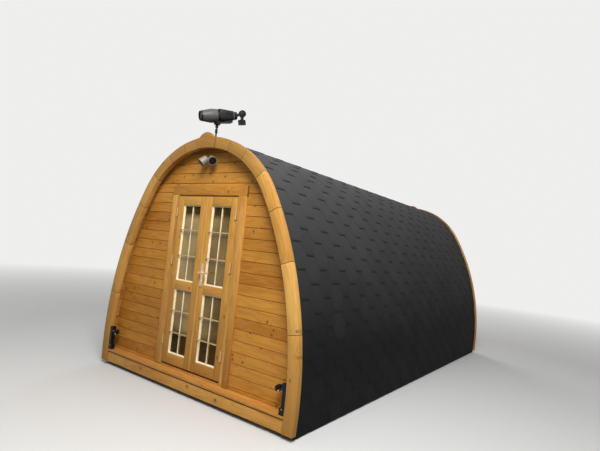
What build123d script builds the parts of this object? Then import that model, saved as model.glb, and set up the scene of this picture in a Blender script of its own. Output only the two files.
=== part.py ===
from build123d import *
from math import asin, atan2, cos, degrees, radians, sin, sqrt
import os

os.makedirs("parts", exist_ok=True)

# A timber camping pod with a three-centred arch section, in millimetres.
# X runs across, +Y runs into the pod from its front, Z is up.
# The origin is on the ground, under the middle of the pod.

# Arch outline, the outer edge of the trim: two long side arcs and one crown arc
length = 5900.0             # front arch face to back arch face
half_width = 1505.0         # half of the widest width
widest_height = 325.0       # height at which the sides stand upright
side_radius = 3640.0
crown_radius = 1150.0
foot_height = 45.0          # underside of the arch feet and of the fascias

# Arch trim at each end, sawn from short pieces
trim_width = 120.0
trim_depth = 60.0
trim_joint = 3.0            # open joint between neighbouring pieces
trim_joint_angles = (18.7, 32.1, 48.6, 62.3, 70.6, 80.8)
keystone_half_width = 150.0
keystone_proud = 8.0        # in front of the trim
keystone_rise = 50.0        # rounded head above the crown of the trim
keystone_head_half_width = 110.0
keystone_head_thickness = 30.0

# Shell and its covering, measured inwards from the arch outline
trim_lap = 15.0             # trim edge above the shingles
roofing_thickness = 8.0
shell_thickness = 44.0
ridge_cap_thickness = 4.0
ridge_cap_half_width = 150.0
shell_split_angle = 76.0    # where the lower side staves start
shell_foot = 20.0
roofing_foot = 12.0
seat_gap = 0.3              # clearance where a straight piece meets a curved one

# Floor
skid_width = 95.0
skid_height = 70.0
skid_spacing = 1050.0
skid_inset = 90.0           # skid ends behind the arch faces
skid_chamfer = 23.0
joist_height = 100.0
joist_thickness = 45.0
joist_pitch = 590.0
board_thickness = 25.0
fascia_thickness = 28.0
deck_nosing = 10.0          # deck edge in front of the fascia

# End walls
recess = 122.0              # arch face to end wall
wall_thickness = 44.0

# Door frame
clear_half_width = 468.0    # between the jambs
head_drop = 632.3           # top of the arch to the underside of the head
jamb_width = 38.0
jamb_depth = 75.0           # behind the wall face
stop_width = 15.0
threshold_height = 22.0
threshold_setback = 5.0     # nose behind the leaf face
casing_width = 78.0
casing_thickness = 20.0
head_casing_height = 105.0
head_casing_reveal = 10.0
head_casing_overhang = 8.0

# Door leaves, with their faces in line with the casings
leaf_thickness = 44.0
leaf_gap = 5.0              # to the jambs, the head and the stops
meeting_gap = 8.0           # between the two leaves
leaf_floor_gap = 22.0
stile_width = 84.0
top_rail = 98.0
middle_rail = 95.0
bottom_rail = 109.0
upper_light_height = 856.0
glass_thickness = 8.0
glass_recess = 28.0         # leaf face to glass
glass_edge = 8.0            # how far the glass runs into its groove
glass_clearance = 0.3

# Hinges, three to a leaf
hinge_rises = (252.0, 1146.0)   # of the lower two, above the foot of the leaf
hinge_top_drop = 185.0      # of the top one, below the top of the leaf
knuckle_radius = 8.0
knuckle_facets = 12
knuckle_length = 52.0
knuckle_gap = 0.5
pin_radius = 3.0
pin_clearance = 0.05
hinge_standoff = 8.5        # pin axis in front of the leaf face
hinge_plate_thickness = 2.5
hinge_plate_width = 14.0
hinge_plate_offset = 10.0   # pin axis to the full-height plate

# Door handle
handle_height = 1296.0
handle_setback = 50.0       # from the meeting edge of the leaf
handle_plate_width = 40.0
handle_plate_height = 248.0
handle_plate_corner = 12.0
handle_plate_drop = 27.0    # plate centre below the spindle
handle_plate_thickness = 8.0
spindle_width = 9.0
spindle_bore = 8.5          # radius of the hole round it
lever_gap = 0.3             # lever boss in front of the plate
lever_boss_radius = 11.0
lever_standoff = 50.0       # leaf face to the middle of the grip
lever_length = 120.0
lever_radius = 9.0
lever_sides = 8
cylinder_radius = 9.0
cylinder_drop = 85.0        # lock cylinder below the spindle
cylinder_proud = 5.0

# Black lamps on the porch deck, against the arch legs
lamp_base_width = 60.0
lamp_base_height = 58.0
lamp_depth = 50.0
lamp_post_width = 42.0
lamp_cap_width = 52.0
lamp_cap_height = 62.0
lamp_height = 272.0
lamp_setback = 5.0          # behind the arch face
lamp_chamfer = 4.0
lamp_head_radius = 29.0
lamp_head_length = 44.0
lamp_head_height = 218.0    # above the deck
lamp_head_reach = 78.0      # post side to the head's axis
lamp_arm_width = 20.0

# Twin lamp on the wall under the crown
crown_lamp_drop = 250.0     # below the top of the arch
crown_lamp_offset = 15.0
crown_base_radius = 40.0
crown_base_depth = 26.0
crown_head_radius = 46.0
crown_head_length = 96.0
crown_neck_width = 24.0
crown_neck_length = 68.0
crown_head_spread = 62.0    # each head's middle beside the base
crown_head_turn = 50.0      # heads turned outwards from straight ahead
crown_head_droop = 30.0     # and downwards

# Spotlight on a thin stem over the ridge; distances along it run forward from the stem
spot_setback = 125.0        # stem behind the arch face
stem_height = 144.0
stem_radius = 9.0
stem_flange_width = 60.0
stem_flange_height = 6.0
stem_collar_radius = 15.0
stem_collar_span = (85.0, 127.0)    # above the foot of the stem
stem_collar_sides = 6
knuckle_radius_low = 17.0
knuckle_radius_high = 36.0
knuckle_sides = 8
knuckle_neck = 35.0         # height of the thinner part
spot_axis_rise = 134.0      # above the stem
spot_turn = 24.0            # turned to the left of straight ahead
spot_droop = 13.0           # and downwards
spot_profile = (            # distance along the axis, radius
    (206.0, 44.0),
    (206.0, 53.0),
    (84.0, 74.0),
    (0.0, 72.0),
    (-160.0, 48.0),
    (-214.0, 36.0),
)
spot_glass_depth = 14.0     # front ring to the glass
saddle_span = (36.0, -150.0)
saddle_width = 76.0
saddle_drop = 80.0          # underside below the axis
bracket_radius = 14.0
bracket_joint = (-292.0, 24.0)   # along the axis, above it
bracket_joint_radius = 40.0
bracket_joint_sides = 16
bracket_joint_width = 36.0
bracket_foot = (-276.0, -74.0)
bracket_foot_size = (78.0, 56.0, 36.0)

# Places that follow from the sizes above
side_centre_x = half_width - side_radius
crown_centre_z = widest_height + sqrt((side_radius - crown_radius) ** 2 - side_centre_x ** 2)
crown_height = crown_centre_z + crown_radius
join_angle = degrees(atan2(-side_centre_x, crown_centre_z - widest_height))
front_face = -length / 2
back_face = length / 2
shell_inset = trim_lap + roofing_thickness
inner_inset = shell_inset + shell_thickness
wall_inset = inner_inset + seat_gap
front_wall_face = front_face + recess
back_wall_face = back_face - recess
leaf_face = front_wall_face - casing_thickness
joist_bottom = skid_height
board_bottom = joist_bottom + joist_height
floor_top = board_bottom + board_thickness
rough_half_width = clear_half_width + jamb_width
threshold_top = floor_top + threshold_height
head_height = crown_height - head_drop
leaf_bottom = threshold_top + leaf_floor_gap
leaf_top = head_height - leaf_gap
leaf_meeting = meeting_gap / 2
leaf_edge = clear_half_width - leaf_gap
lower_light = (leaf_bottom + bottom_rail, leaf_top - top_rail - upper_light_height - middle_rail)
upper_light = (leaf_top - top_rail - upper_light_height, leaf_top - top_rail)
light_span = (leaf_meeting + stile_width, leaf_edge - stile_width)
hinge_x = (leaf_edge + clear_half_width) / 2
hinge_y = leaf_face - hinge_standoff
hinge_heights = (*(leaf_bottom + rise for rise in hinge_rises), leaf_top - hinge_top_drop)
handle_x = leaf_meeting + handle_setback
crown_lamp_height = crown_height - crown_lamp_drop
stem_foot = crown_height - trim_lap + ridge_cap_thickness + seat_gap
stem_top = stem_foot + stem_height
spot_axis_height = stem_top + spot_axis_rise


def arch_point(angle, inset, side=1):
    """Point where the arch's normal is this many degrees from upright, this far inside the outline."""
    if angle <= join_angle:
        centre_x, centre_z, radius = 0.0, crown_centre_z, crown_radius - inset
    else:
        centre_x, centre_z, radius = side_centre_x, widest_height, side_radius - inset
    turn = radians(angle)
    return side * (centre_x + radius * sin(turn)), centre_z + radius * cos(turn)


def level_angle(height, inset):
    """Angle at which a side arc passes this height."""
    return 90 + degrees(asin((widest_height - height) / (side_radius - inset)))


def half_width_at(height, inset):
    """Half of the width inside a side arc at this height."""
    return arch_point(level_angle(height, inset), inset)[0]


def joint_turn(gap, angle):
    """Angle that a gap takes up along the outline."""
    return degrees(gap / (crown_radius if angle < join_angle else side_radius))


def arch_edges(start, end, inset, side=1):
    """Arcs of the outline between two angles, drawn into the current line."""
    stops = [start, *[angle for angle in (join_angle,) if start < angle < end], end]
    for first, last in zip(stops, stops[1:]):
        middle = (first + last) / 2
        ThreePointArc(*[arch_point(angle, inset, side) for angle in (first, middle, last)])


def band(start, end, outer, inner, side=1, foot=None):
    """Stretch of the arch between two angles and two insets, with its foot cut level if a height is given."""
    outer_end, inner_end = (end, end) if foot is None else (level_angle(foot, outer), level_angle(foot, inner))
    with BuildSketch() as shape:
        with BuildLine():
            arch_edges(start, outer_end, outer, side)
            arch_edges(start, inner_end, inner, side)
            Line(arch_point(start, outer, side), arch_point(start, inner, side))
            Line(arch_point(outer_end, outer, side), arch_point(inner_end, inner, side))
        make_face()
    return shape.sketch


def gable(inset, bottom):
    """Whole face of an end wall, from a level bottom edge up to the arch."""
    end = level_angle(bottom, inset)
    with BuildSketch() as shape:
        with BuildLine():
            arch_edges(0, end, inset, 1)
            arch_edges(0, end, inset, -1)
            Line(arch_point(end, inset, 1), arch_point(end, inset, -1))
        make_face()
    return shape.sketch


def upright(y):
    """Plane across the pod at this depth, seen from the front."""
    return Plane(origin=(0, y, 0), x_dir=(1, 0, 0), z_dir=(0, -1, 0))


def block(low, high, mode=Mode.ADD):
    """Box between two corners."""
    size = [b - a for a, b in zip(low, high)]
    centre = tuple((a + b) / 2 for a, b in zip(low, high))
    with Locations(centre):
        Box(*size, mode=mode)


def finish(part, label):
    """Names a finished piece and writes it."""
    part.label = label
    export_step(part, f"parts/{label}.step")


# Skids under the floor
with BuildPart() as skids:
    skid_length = length - 2 * skid_inset
    with Locations([(x, 0, skid_height / 2) for x in (-skid_spacing, 0, skid_spacing)]):
        Box(skid_width, skid_length, skid_height)
    runner_ends = skids.edges().filter_by(Axis.X).group_by(Axis.Z)[0]
    chamfer(runner_ends, skid_chamfer)
finish(skids.part, "skids")

# Floor joists across the skids: a narrower one behind each fascia, the rest from shell to shell
end_joist_y = length / 2 - deck_nosing - fascia_thickness - joist_thickness / 2
end_joist_half = half_width_at(joist_bottom, trim_width) - seat_gap
joist_half = half_width_at(joist_bottom, inner_inset) - seat_gap
joist_count = round(2 * end_joist_y / joist_pitch) - 1
joist_step = 2 * end_joist_y / (joist_count + 1)
with BuildPart() as floor_joists:
    with BuildSketch(Plane.XY.offset(joist_bottom)):
        with GridLocations(0, 2 * end_joist_y, 1, 2):
            Rectangle(2 * end_joist_half, joist_thickness)
        with GridLocations(0, joist_step, 1, joist_count):
            Rectangle(2 * joist_half, joist_thickness)
    extrude(amount=joist_height)
finish(floor_joists.part, "floor_joists")

# Floor inside, and a deck at each end that runs under the end wall
floor_half = half_width_at(board_bottom, inner_inset) - seat_gap
deck_half = half_width_at(board_bottom, trim_width) - seat_gap
deck_end = recess + wall_thickness
with BuildPart() as floor_boards:
    with BuildSketch(Plane.XY.offset(board_bottom)):
        Rectangle(2 * floor_half, length - 2 * deck_end)
    extrude(amount=board_thickness)
finish(floor_boards.part, "floor_boards")

with BuildPart() as porch_deck:
    with BuildSketch(Plane.XY.offset(board_bottom)):
        with Locations((0, front_face)):
            Rectangle(2 * deck_half, trim_depth, align=(Align.CENTER, Align.MIN))
        with Locations((0, front_face + trim_depth)):
            Rectangle(2 * floor_half, deck_end - trim_depth, align=(Align.CENTER, Align.MIN))
    extrude(amount=board_thickness)
finish(porch_deck.part, "porch_deck")

with BuildPart() as back_deck:
    add(porch_deck.part)
    mirror(about=Plane.XZ, mode=Mode.REPLACE)
finish(back_deck.part, "back_deck")

# Fascias under the deck edges, between the arch feet
fascia_half = half_width_at(foot_height, trim_width) - seat_gap
with BuildPart() as front_fascia:
    block((-fascia_half, front_face + deck_nosing, foot_height),
          (fascia_half, front_face + deck_nosing + fascia_thickness, board_bottom))
finish(front_fascia.part, "front_fascia")

with BuildPart() as back_fascia:
    add(front_fascia.part)
    mirror(about=Plane.XZ, mode=Mode.REPLACE)
finish(back_fascia.part, "back_fascia")

# Shell of lengthwise staves, in three stretches a side, and the shingles over it
shell_length = length - 2 * trim_depth
shell_start = upright(front_face + trim_depth)
for side, side_name in ((-1, "left"), (1, "right")):
    stretches = (
        ("crown", 0, join_angle, None),
        ("upper", join_angle, shell_split_angle, None),
        ("lower", shell_split_angle, None, shell_foot),
    )
    for stretch_name, start, end, foot in stretches:
        with BuildPart() as shell:
            with BuildSketch(shell_start):
                add(band(start, end, shell_inset, inner_inset, side, foot))
            extrude(amount=-shell_length)
        finish(shell.part, f"shell_{stretch_name}_{side_name}")

    with BuildPart() as roofing:
        with BuildSketch(shell_start):
            add(band(0, None, trim_lap, shell_inset, side, roofing_foot))
        extrude(amount=-shell_length)
    finish(roofing.part, f"roofing_{side_name}")

ridge_cap_angle = degrees(ridge_cap_half_width / crown_radius)
with BuildPart() as ridge_cap:
    with BuildSketch(shell_start):
        for side in (-1, 1):
            add(band(0, ridge_cap_angle, trim_lap - ridge_cap_thickness, trim_lap, side))
    extrude(amount=-shell_length)
finish(ridge_cap.part, "ridge_cap")

# Arch trim of sawn pieces with open joints, a keystone between the two halves
keystone_angle = degrees(keystone_half_width / crown_radius)
foot_piece_start = trim_joint_angles[-1]
piece_edges = (keystone_angle, *trim_joint_angles)
for side, side_name in ((-1, "left"), (1, "right")):
    with BuildPart() as front_arch:
        with BuildSketch(upright(front_face)):
            for start, end in zip(piece_edges, piece_edges[1:]):
                first = start + joint_turn(trim_joint / 2, start)
                last = end - joint_turn(trim_joint / 2, end)
                add(band(first, last, 0, trim_width, side))
            first = foot_piece_start + joint_turn(trim_joint / 2, foot_piece_start)
            add(band(first, None, 0, trim_width, side, foot_height))
        extrude(amount=-trim_depth)
    finish(front_arch.part, f"front_arch_{side_name}")

    with BuildPart() as back_arch:
        add(front_arch.part)
        mirror(about=Plane.XZ, mode=Mode.REPLACE)
    finish(back_arch.part, f"back_arch_{side_name}")

keystone_edge = keystone_angle - joint_turn(trim_joint / 2, keystone_angle)
with BuildPart() as front_keystone:
    with BuildSketch(upright(front_face - keystone_proud)):
        with BuildLine():
            lower_right = arch_point(keystone_edge, trim_width)
            upper_right = arch_point(keystone_edge, 0)
            lower_left = arch_point(keystone_edge, trim_width, -1)
            upper_left = arch_point(keystone_edge, 0, -1)
            Line(lower_right, upper_right)
            ThreePointArc(upper_right, arch_point(0, 0), upper_left)
            Line(upper_left, lower_left)
            ThreePointArc(lower_left, arch_point(0, trim_width), lower_right)
        make_face()
    extrude(amount=-(keystone_proud + trim_depth))
    head_angle = degrees(keystone_head_half_width / crown_radius)
    with BuildSketch(upright(front_face - keystone_proud)):
        with BuildLine():
            right_foot, left_foot = arch_point(head_angle, 0), arch_point(head_angle, 0, -1)
            ThreePointArc(right_foot, (0, crown_height + keystone_rise), left_foot)
            Line(left_foot, right_foot)
        make_face()
    extrude(amount=-keystone_head_thickness)
finish(front_keystone.part, "front_keystone")

with BuildPart() as back_keystone:
    add(front_keystone.part)
    mirror(about=Plane.XZ, mode=Mode.REPLACE)
finish(back_keystone.part, "back_keystone")

# End walls: the front one is split beside and over the doorway
rough_head = head_height + jamb_width
wall_face = gable(wall_inset, floor_top)
front_parts = (
    ("front_wall_left", (-half_width, floor_top), (-rough_half_width, crown_height)),
    ("front_wall_right", (rough_half_width, floor_top), (half_width, crown_height)),
    ("front_wall_top", (-rough_half_width, rough_head), (rough_half_width, crown_height)),
)
for wall_name, low, high in front_parts:
    with BuildPart() as front_wall:
        with BuildSketch(upright(front_wall_face)):
            add(wall_face)
            with Locations(((low[0] + high[0]) / 2, (low[1] + high[1]) / 2)):
                Rectangle(high[0] - low[0], high[1] - low[1], mode=Mode.INTERSECT)
        extrude(amount=-wall_thickness)
    finish(front_wall.part, wall_name)

with BuildPart() as back_wall:
    with BuildSketch(upright(back_wall_face - wall_thickness)):
        add(wall_face)
    extrude(amount=-wall_thickness)
finish(back_wall.part, "back_wall")

# Door frame: the stop behind the leaves is worked into the jambs, the head and the threshold
frame_back = front_wall_face + jamb_depth
stop_front = leaf_face + leaf_thickness + leaf_gap
stop_half_width = clear_half_width - stop_width
head_casing_bottom = head_height + head_casing_reveal
with BuildPart() as door_jambs:
    for side in (-1, 1):
        with BuildSketch(Plane.XY.offset(threshold_top)):
            with BuildLine():
                Polyline(
                    (side * rough_half_width, leaf_face),
                    (side * clear_half_width, leaf_face),
                    (side * clear_half_width, stop_front),
                    (side * stop_half_width, stop_front),
                    (side * stop_half_width, frame_back),
                    (side * rough_half_width, frame_back),
                    close=True,
                )
            make_face()
        extrude(amount=head_height - threshold_top)
        edges = sorted((side * clear_half_width, side * rough_half_width))
        block((edges[0], leaf_face, head_height), (edges[1], front_wall_face, head_casing_bottom))
finish(door_jambs.part, "door_jambs")

with BuildPart() as door_head:
    block((-rough_half_width, front_wall_face, head_height), (rough_half_width, frame_back, rough_head))
    block((-stop_half_width, stop_front, head_height - stop_width), (stop_half_width, frame_back, head_height))
finish(door_head.part, "door_head")

with BuildPart() as door_threshold:
    block((-rough_half_width, front_wall_face, floor_top), (rough_half_width, frame_back, threshold_top))
    block((seat_gap - rough_half_width, leaf_face + threshold_setback, floor_top),
          (rough_half_width - seat_gap, front_wall_face, threshold_top))
    block((-stop_half_width, stop_front, threshold_top), (stop_half_width, frame_back, leaf_bottom + stop_width))
finish(door_threshold.part, "door_threshold")

# Casings round the door frame
casing_outer = rough_half_width + casing_width
with BuildPart() as side_casings:
    for side in (-1, 1):
        edges = sorted((side * rough_half_width, side * casing_outer))
        block((edges[0], leaf_face, floor_top), (edges[1], front_wall_face, head_casing_bottom))
finish(side_casings.part, "side_casings")

with BuildPart() as casing_head:
    casing_head_half = casing_outer + head_casing_overhang
    block((-casing_head_half, leaf_face, head_casing_bottom),
          (casing_head_half, front_wall_face, head_casing_bottom + head_casing_height))
finish(casing_head.part, "casing_head")

# Glazed door leaves: the glass sits in a groove round each light
glass_front = leaf_face + glass_recess
lights = (lower_light, upper_light)
for side, side_name in ((-1, "left"), (1, "right")):
    light_x = side * (light_span[0] + light_span[1]) / 2
    light_width = light_span[1] - light_span[0]
    with BuildPart() as leaf:
        edges = sorted((side * leaf_meeting, side * leaf_edge))
        block((edges[0], leaf_face, leaf_bottom), (edges[1], leaf_face + leaf_thickness, leaf_top))
        for low, high in lights:
            with Locations((light_x, leaf_face + leaf_thickness / 2, (low + high) / 2)):
                Box(light_width, leaf_thickness, high - low, mode=Mode.SUBTRACT)
            with Locations((light_x, glass_front + glass_thickness / 2, (low + high) / 2)):
                Box(light_width + 2 * glass_edge, glass_thickness, high - low + 2 * glass_edge, mode=Mode.SUBTRACT)
        if side > 0:
            with BuildSketch(upright(leaf_face)):
                with Locations((handle_x, handle_height)):
                    Circle(spindle_bore)
            extrude(amount=-leaf_thickness, mode=Mode.SUBTRACT)
    finish(leaf.part, f"{side_name}_leaf")

    with BuildPart() as glass:
        for low, high in lights:
            with Locations((light_x, glass_front + glass_thickness / 2, (low + high) / 2)):
                Box(light_width + 2 * (glass_edge - glass_clearance),
                    glass_thickness - 2 * glass_clearance,
                    high - low + 2 * (glass_edge - glass_clearance))
    finish(glass.part, f"{side_name}_glass")

# Hinges: the lower knuckle and its pin stay with the jamb, the upper knuckle turns with the leaf
plate_back = leaf_face
plate_front = leaf_face - hinge_plate_thickness


def hinge_profile(side, away):
    """Knuckle and tab of one hinge half, seen from above."""
    with BuildSketch() as shape:
        with Locations((side * hinge_x, hinge_y)):
            RegularPolygon(knuckle_radius, knuckle_facets)
        inner_x = side * hinge_x + away * knuckle_radius / 2
        tab_x = side * hinge_x + away * hinge_plate_offset
        with BuildLine():
            Polyline((inner_x, plate_front), (tab_x, plate_front), (tab_x, plate_back), (inner_x, plate_back),
                     close=True)
        make_face()
    return shape.sketch


def plate_place(side, away, middle):
    """Middle of the plate of one hinge half."""
    plate_x = side * hinge_x + away * (hinge_plate_offset + hinge_plate_width / 2)
    return plate_x, (plate_front + plate_back) / 2, middle


with BuildPart() as jamb_hinges:
    for side in (-1, 1):
        for middle in hinge_heights:
            knuckle_top = middle - knuckle_gap / 2
            with BuildSketch(Plane.XY.offset(middle - knuckle_length)):
                add(hinge_profile(side, side))
            extrude(amount=knuckle_length - knuckle_gap / 2)
            with Locations(plate_place(side, side, middle)):
                Box(hinge_plate_width, hinge_plate_thickness, 2 * knuckle_length)
            with BuildSketch(Plane.XY.offset(knuckle_top)):
                with Locations((side * hinge_x, hinge_y)):
                    Circle(pin_radius)
            extrude(amount=knuckle_length)
finish(jamb_hinges.part, "jamb_hinges")

for side, side_name in ((-1, "left"), (1, "right")):
    with BuildPart() as leaf_hinges:
        for middle in hinge_heights:
            with BuildSketch(Plane.XY.offset(middle + knuckle_gap / 2)):
                add(hinge_profile(side, -side))
            extrude(amount=knuckle_length - knuckle_gap / 2)
            with Locations(plate_place(side, -side, middle)):
                Box(hinge_plate_width, hinge_plate_thickness, 2 * knuckle_length)
            with BuildSketch(Plane.XY.offset(middle)):
                with Locations((side * hinge_x, hinge_y)):
                    Circle(pin_radius + pin_clearance)
            extrude(amount=knuckle_length, mode=Mode.SUBTRACT)
    finish(leaf_hinges.part, f"leaf_hinges_{side_name}")

# Handle on the right leaf: a plate on each face, and a lever on each side of one spindle
leaf_back = leaf_face + leaf_thickness
plate_centre = (handle_x, handle_height - handle_plate_drop)
with BuildPart() as handle_plates:
    for face, outward in ((leaf_face, -1), (leaf_back, 1)):
        plate_face = face + outward * handle_plate_thickness
        with BuildSketch(upright(plate_face)):
            with Locations(plate_centre):
                plate = Rectangle(handle_plate_width, handle_plate_height)
            chamfer(plate.vertices(), handle_plate_corner)
            with Locations((handle_x, handle_height)):
                Circle(spindle_bore, mode=Mode.SUBTRACT)
        extrude(amount=outward * handle_plate_thickness)
        with BuildSketch(upright(plate_face)):
            with Locations((handle_x, handle_height - cylinder_drop)):
                Circle(cylinder_radius)
        extrude(amount=-outward * cylinder_proud)
finish(handle_plates.part, "handle_plates")

boss_start = handle_plate_thickness + lever_gap
grip_start = handle_x - lever_boss_radius
with BuildPart() as lever:
    with BuildSketch(upright(leaf_face - lever_standoff)):
        with Locations((handle_x, handle_height)):
            Rectangle(spindle_width, spindle_width)
    extrude(amount=-(leaf_thickness + 2 * lever_standoff))
    for face, outward in ((leaf_face, -1), (leaf_back, 1)):
        grip_y = face + outward * lever_standoff
        with BuildSketch(upright(face + outward * boss_start)):
            with Locations((handle_x, handle_height)):
                Circle(lever_boss_radius)
        extrude(amount=-outward * (lever_standoff - boss_start))
        with BuildSketch(Plane(origin=(grip_start, grip_y, handle_height), x_dir=(0, 1, 0), z_dir=(1, 0, 0))):
            RegularPolygon(lever_radius, lever_sides, rotation=180 / lever_sides)
        extrude(amount=lever_boss_radius + lever_length)
finish(lever.part, "lever")

# Lamps standing on the deck against the inner side of each arch leg
leg_inner = half_width_at(floor_top + lamp_height, trim_width) - seat_gap
lamp_middle_y = front_face + lamp_setback + lamp_depth / 2
for side, side_name in ((-1, "left"), (1, "right")):
    with BuildPart() as porch_lamp:
        for bottom, height, width in (
            (0, lamp_base_height, lamp_base_width),
            (lamp_base_height, lamp_height - lamp_base_height - lamp_cap_height, lamp_post_width),
            (lamp_height - lamp_cap_height, lamp_cap_height, lamp_cap_width),
        ):
            with BuildSketch(Plane.XY.offset(floor_top + bottom)):
                with Locations((side * (leg_inner - width / 2), lamp_middle_y)):
                    outline = Rectangle(width, lamp_depth)
                chamfer(outline.vertices(), lamp_chamfer)
            extrude(amount=height)
        head_x = side * (leg_inner - lamp_head_reach - lamp_post_width / 2)
        head_z = floor_top + lamp_head_height
        with BuildSketch(Plane(origin=(head_x, lamp_middle_y, head_z), x_dir=(0, 1, 0), z_dir=(side, 0, 0))):
            Rectangle(lamp_arm_width, lamp_arm_width)
        extrude(amount=lamp_head_reach)
        with BuildSketch(upright(lamp_middle_y - lamp_head_length / 2)):
            with Locations((head_x, head_z)):
                Circle(lamp_head_radius)
        extrude(amount=-lamp_head_length)
    finish(porch_lamp.part, f"porch_lamp_{side_name}")

# Twin lamp: two round heads on necks from one wall rose
with BuildPart() as crown_lamp:
    with BuildSketch(upright(front_wall_face - crown_base_depth)):
        with Locations((crown_lamp_offset, crown_lamp_height)):
            Circle(crown_base_radius)
    extrude(amount=-crown_base_depth)
    neck_y = front_wall_face - crown_base_depth / 2
    for side in (-1, 1):
        turn, droop = radians(crown_head_turn), radians(crown_head_droop)
        aim = Vector(side * sin(turn) * cos(droop), -cos(turn) * cos(droop), -sin(droop))
        rose = Vector(crown_lamp_offset, neck_y, crown_lamp_height)
        head_middle = rose + Vector(side * crown_head_spread, -crown_neck_length, 0)
        with BuildSketch(Plane(origin=rose, z_dir=head_middle - rose)):
            Rectangle(crown_neck_width, crown_neck_width)
        extrude(amount=(head_middle - rose).length)
        with BuildSketch(Plane(origin=head_middle - aim * (crown_head_length / 2), z_dir=aim)):
            Circle(crown_head_radius)
        extrude(amount=crown_head_length)
finish(crown_lamp.part, "crown_lamp")

# Stem of the spotlight, standing on the ridge cap
spot_y = front_face + spot_setback
with BuildPart() as roof_spot_stem:
    with Locations((0, spot_y, stem_foot + stem_flange_height / 2)):
        Box(stem_flange_width, stem_flange_width, stem_flange_height)
    with BuildSketch(Plane.XY.offset(stem_foot)):
        with Locations((0, spot_y)):
            Circle(stem_radius)
    extrude(amount=stem_height)
    with BuildSketch(Plane.XY.offset(stem_foot + stem_collar_span[0])):
        with Locations((0, spot_y)):
            RegularPolygon(stem_collar_radius, stem_collar_sides)
    extrude(amount=stem_collar_span[1] - stem_collar_span[0])
finish(roof_spot_stem.part, "roof_spot_stem")

# Spotlight: turned barrel on a saddle and knuckle, with a folded bracket behind it
turn, droop = radians(spot_turn), radians(spot_droop)
spot_aim = Vector(-sin(turn) * cos(droop), -cos(turn) * cos(droop), -sin(droop))
spot_middle = Vector(0, spot_y, spot_axis_height)
spot_plane = Plane(origin=spot_middle, x_dir=spot_aim, z_dir=(-cos(turn), sin(turn), 0))
with BuildPart() as roof_spot:
    glass_along = spot_profile[0][0] - spot_glass_depth
    with BuildSketch(spot_plane):
        with BuildLine():
            Polyline((glass_along, 0), (glass_along, spot_profile[0][1]), *spot_profile,
                     (spot_profile[-1][0], 0), close=True)
        make_face()
    revolve(axis=Axis(spot_middle, spot_aim))
    with BuildSketch(spot_plane):
        with Locations((sum(saddle_span) / 2, -saddle_drop / 2)):
            Rectangle(saddle_span[0] - saddle_span[1], saddle_drop)
    extrude(amount=saddle_width / 2, both=True)
    for radius, bottom in ((knuckle_radius_low, stem_top), (knuckle_radius_high, stem_top + knuckle_neck)):
        with BuildSketch(Plane.XY.offset(bottom)):
            with Locations((0, spot_y)):
                RegularPolygon(radius, knuckle_sides)
        extrude(amount=spot_axis_height - bottom)
    with BuildSketch(spot_plane):
        with BuildLine():
            Polyline((spot_profile[-1][0] + bracket_radius, 0), bracket_joint, bracket_foot)
        trace(line_width=2 * bracket_radius)
    extrude(amount=bracket_radius, both=True)
    with BuildSketch(spot_plane):
        with Locations(bracket_joint):
            RegularPolygon(bracket_joint_radius, bracket_joint_sides)
    extrude(amount=bracket_joint_width / 2, both=True)
    with Locations(spot_plane.location * Location((*bracket_foot, 0))):
        Box(*bracket_foot_size)
finish(roof_spot.part, "roof_spot")
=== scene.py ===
import random
from math import asin, atan2, ceil, cos, degrees, radians, sin, sqrt, tau

import bmesh
import bpy
from mathutils import Matrix, Vector


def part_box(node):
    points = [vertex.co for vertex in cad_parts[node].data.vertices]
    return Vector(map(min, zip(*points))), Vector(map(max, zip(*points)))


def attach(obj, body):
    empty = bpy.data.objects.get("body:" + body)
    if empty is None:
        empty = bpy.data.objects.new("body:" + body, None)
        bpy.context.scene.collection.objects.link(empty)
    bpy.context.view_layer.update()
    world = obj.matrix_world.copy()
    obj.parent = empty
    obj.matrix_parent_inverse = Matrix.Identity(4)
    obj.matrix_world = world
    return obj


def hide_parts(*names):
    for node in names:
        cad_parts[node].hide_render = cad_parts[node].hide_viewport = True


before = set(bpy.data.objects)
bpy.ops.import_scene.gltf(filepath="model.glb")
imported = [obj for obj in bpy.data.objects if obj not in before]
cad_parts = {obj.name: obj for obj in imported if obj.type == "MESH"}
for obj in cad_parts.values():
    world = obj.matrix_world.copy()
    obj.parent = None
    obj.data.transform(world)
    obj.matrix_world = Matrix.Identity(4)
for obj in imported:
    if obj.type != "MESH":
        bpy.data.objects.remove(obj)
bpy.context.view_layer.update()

random.seed(7)

SIDES = ((-1, "left"), (1, "right"))
ENDS = (("front", -1), ("back", 1))      # the second value is the way that the end faces along y

# Sizes in metres. The arch outline is the outer edge of the trim: two side arcs and a crown arc.
HALF_WIDTH = 1.505
WIDEST_HEIGHT = 0.325
SIDE_RADIUS = 3.640
CROWN_RADIUS = 1.150
SIDE_CENTRE = HALF_WIDTH - SIDE_RADIUS
CROWN_CENTRE = WIDEST_HEIGHT + sqrt((SIDE_RADIUS - CROWN_RADIUS) ** 2 - SIDE_CENTRE ** 2)
CROWN_HEIGHT = CROWN_CENTRE + CROWN_RADIUS
JOIN_ANGLE = degrees(atan2(-SIDE_CENTRE, CROWN_CENTRE - WIDEST_HEIGHT))

ARCH_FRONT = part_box("front_arch_left")[0][1]
ARCH_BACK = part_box("front_arch_left")[1][1]
WALL_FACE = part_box("front_wall_left")[0][1]
WALL_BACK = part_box("front_wall_left")[1][1]
FLOOR_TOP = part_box("floor_boards")[1][2]
FOOT_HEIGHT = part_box("front_arch_left")[0][2]
SHELL_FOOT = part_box("shell_lower_left")[0][2]
TRIM_WIDTH = 0.120
ROOF_INSET = 0.015
SHELL_OUTER = 0.023
SHELL_INNER = 0.067
CLEARANCE = 0.0005           # keeps a piece just short of the one that it meets


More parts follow.
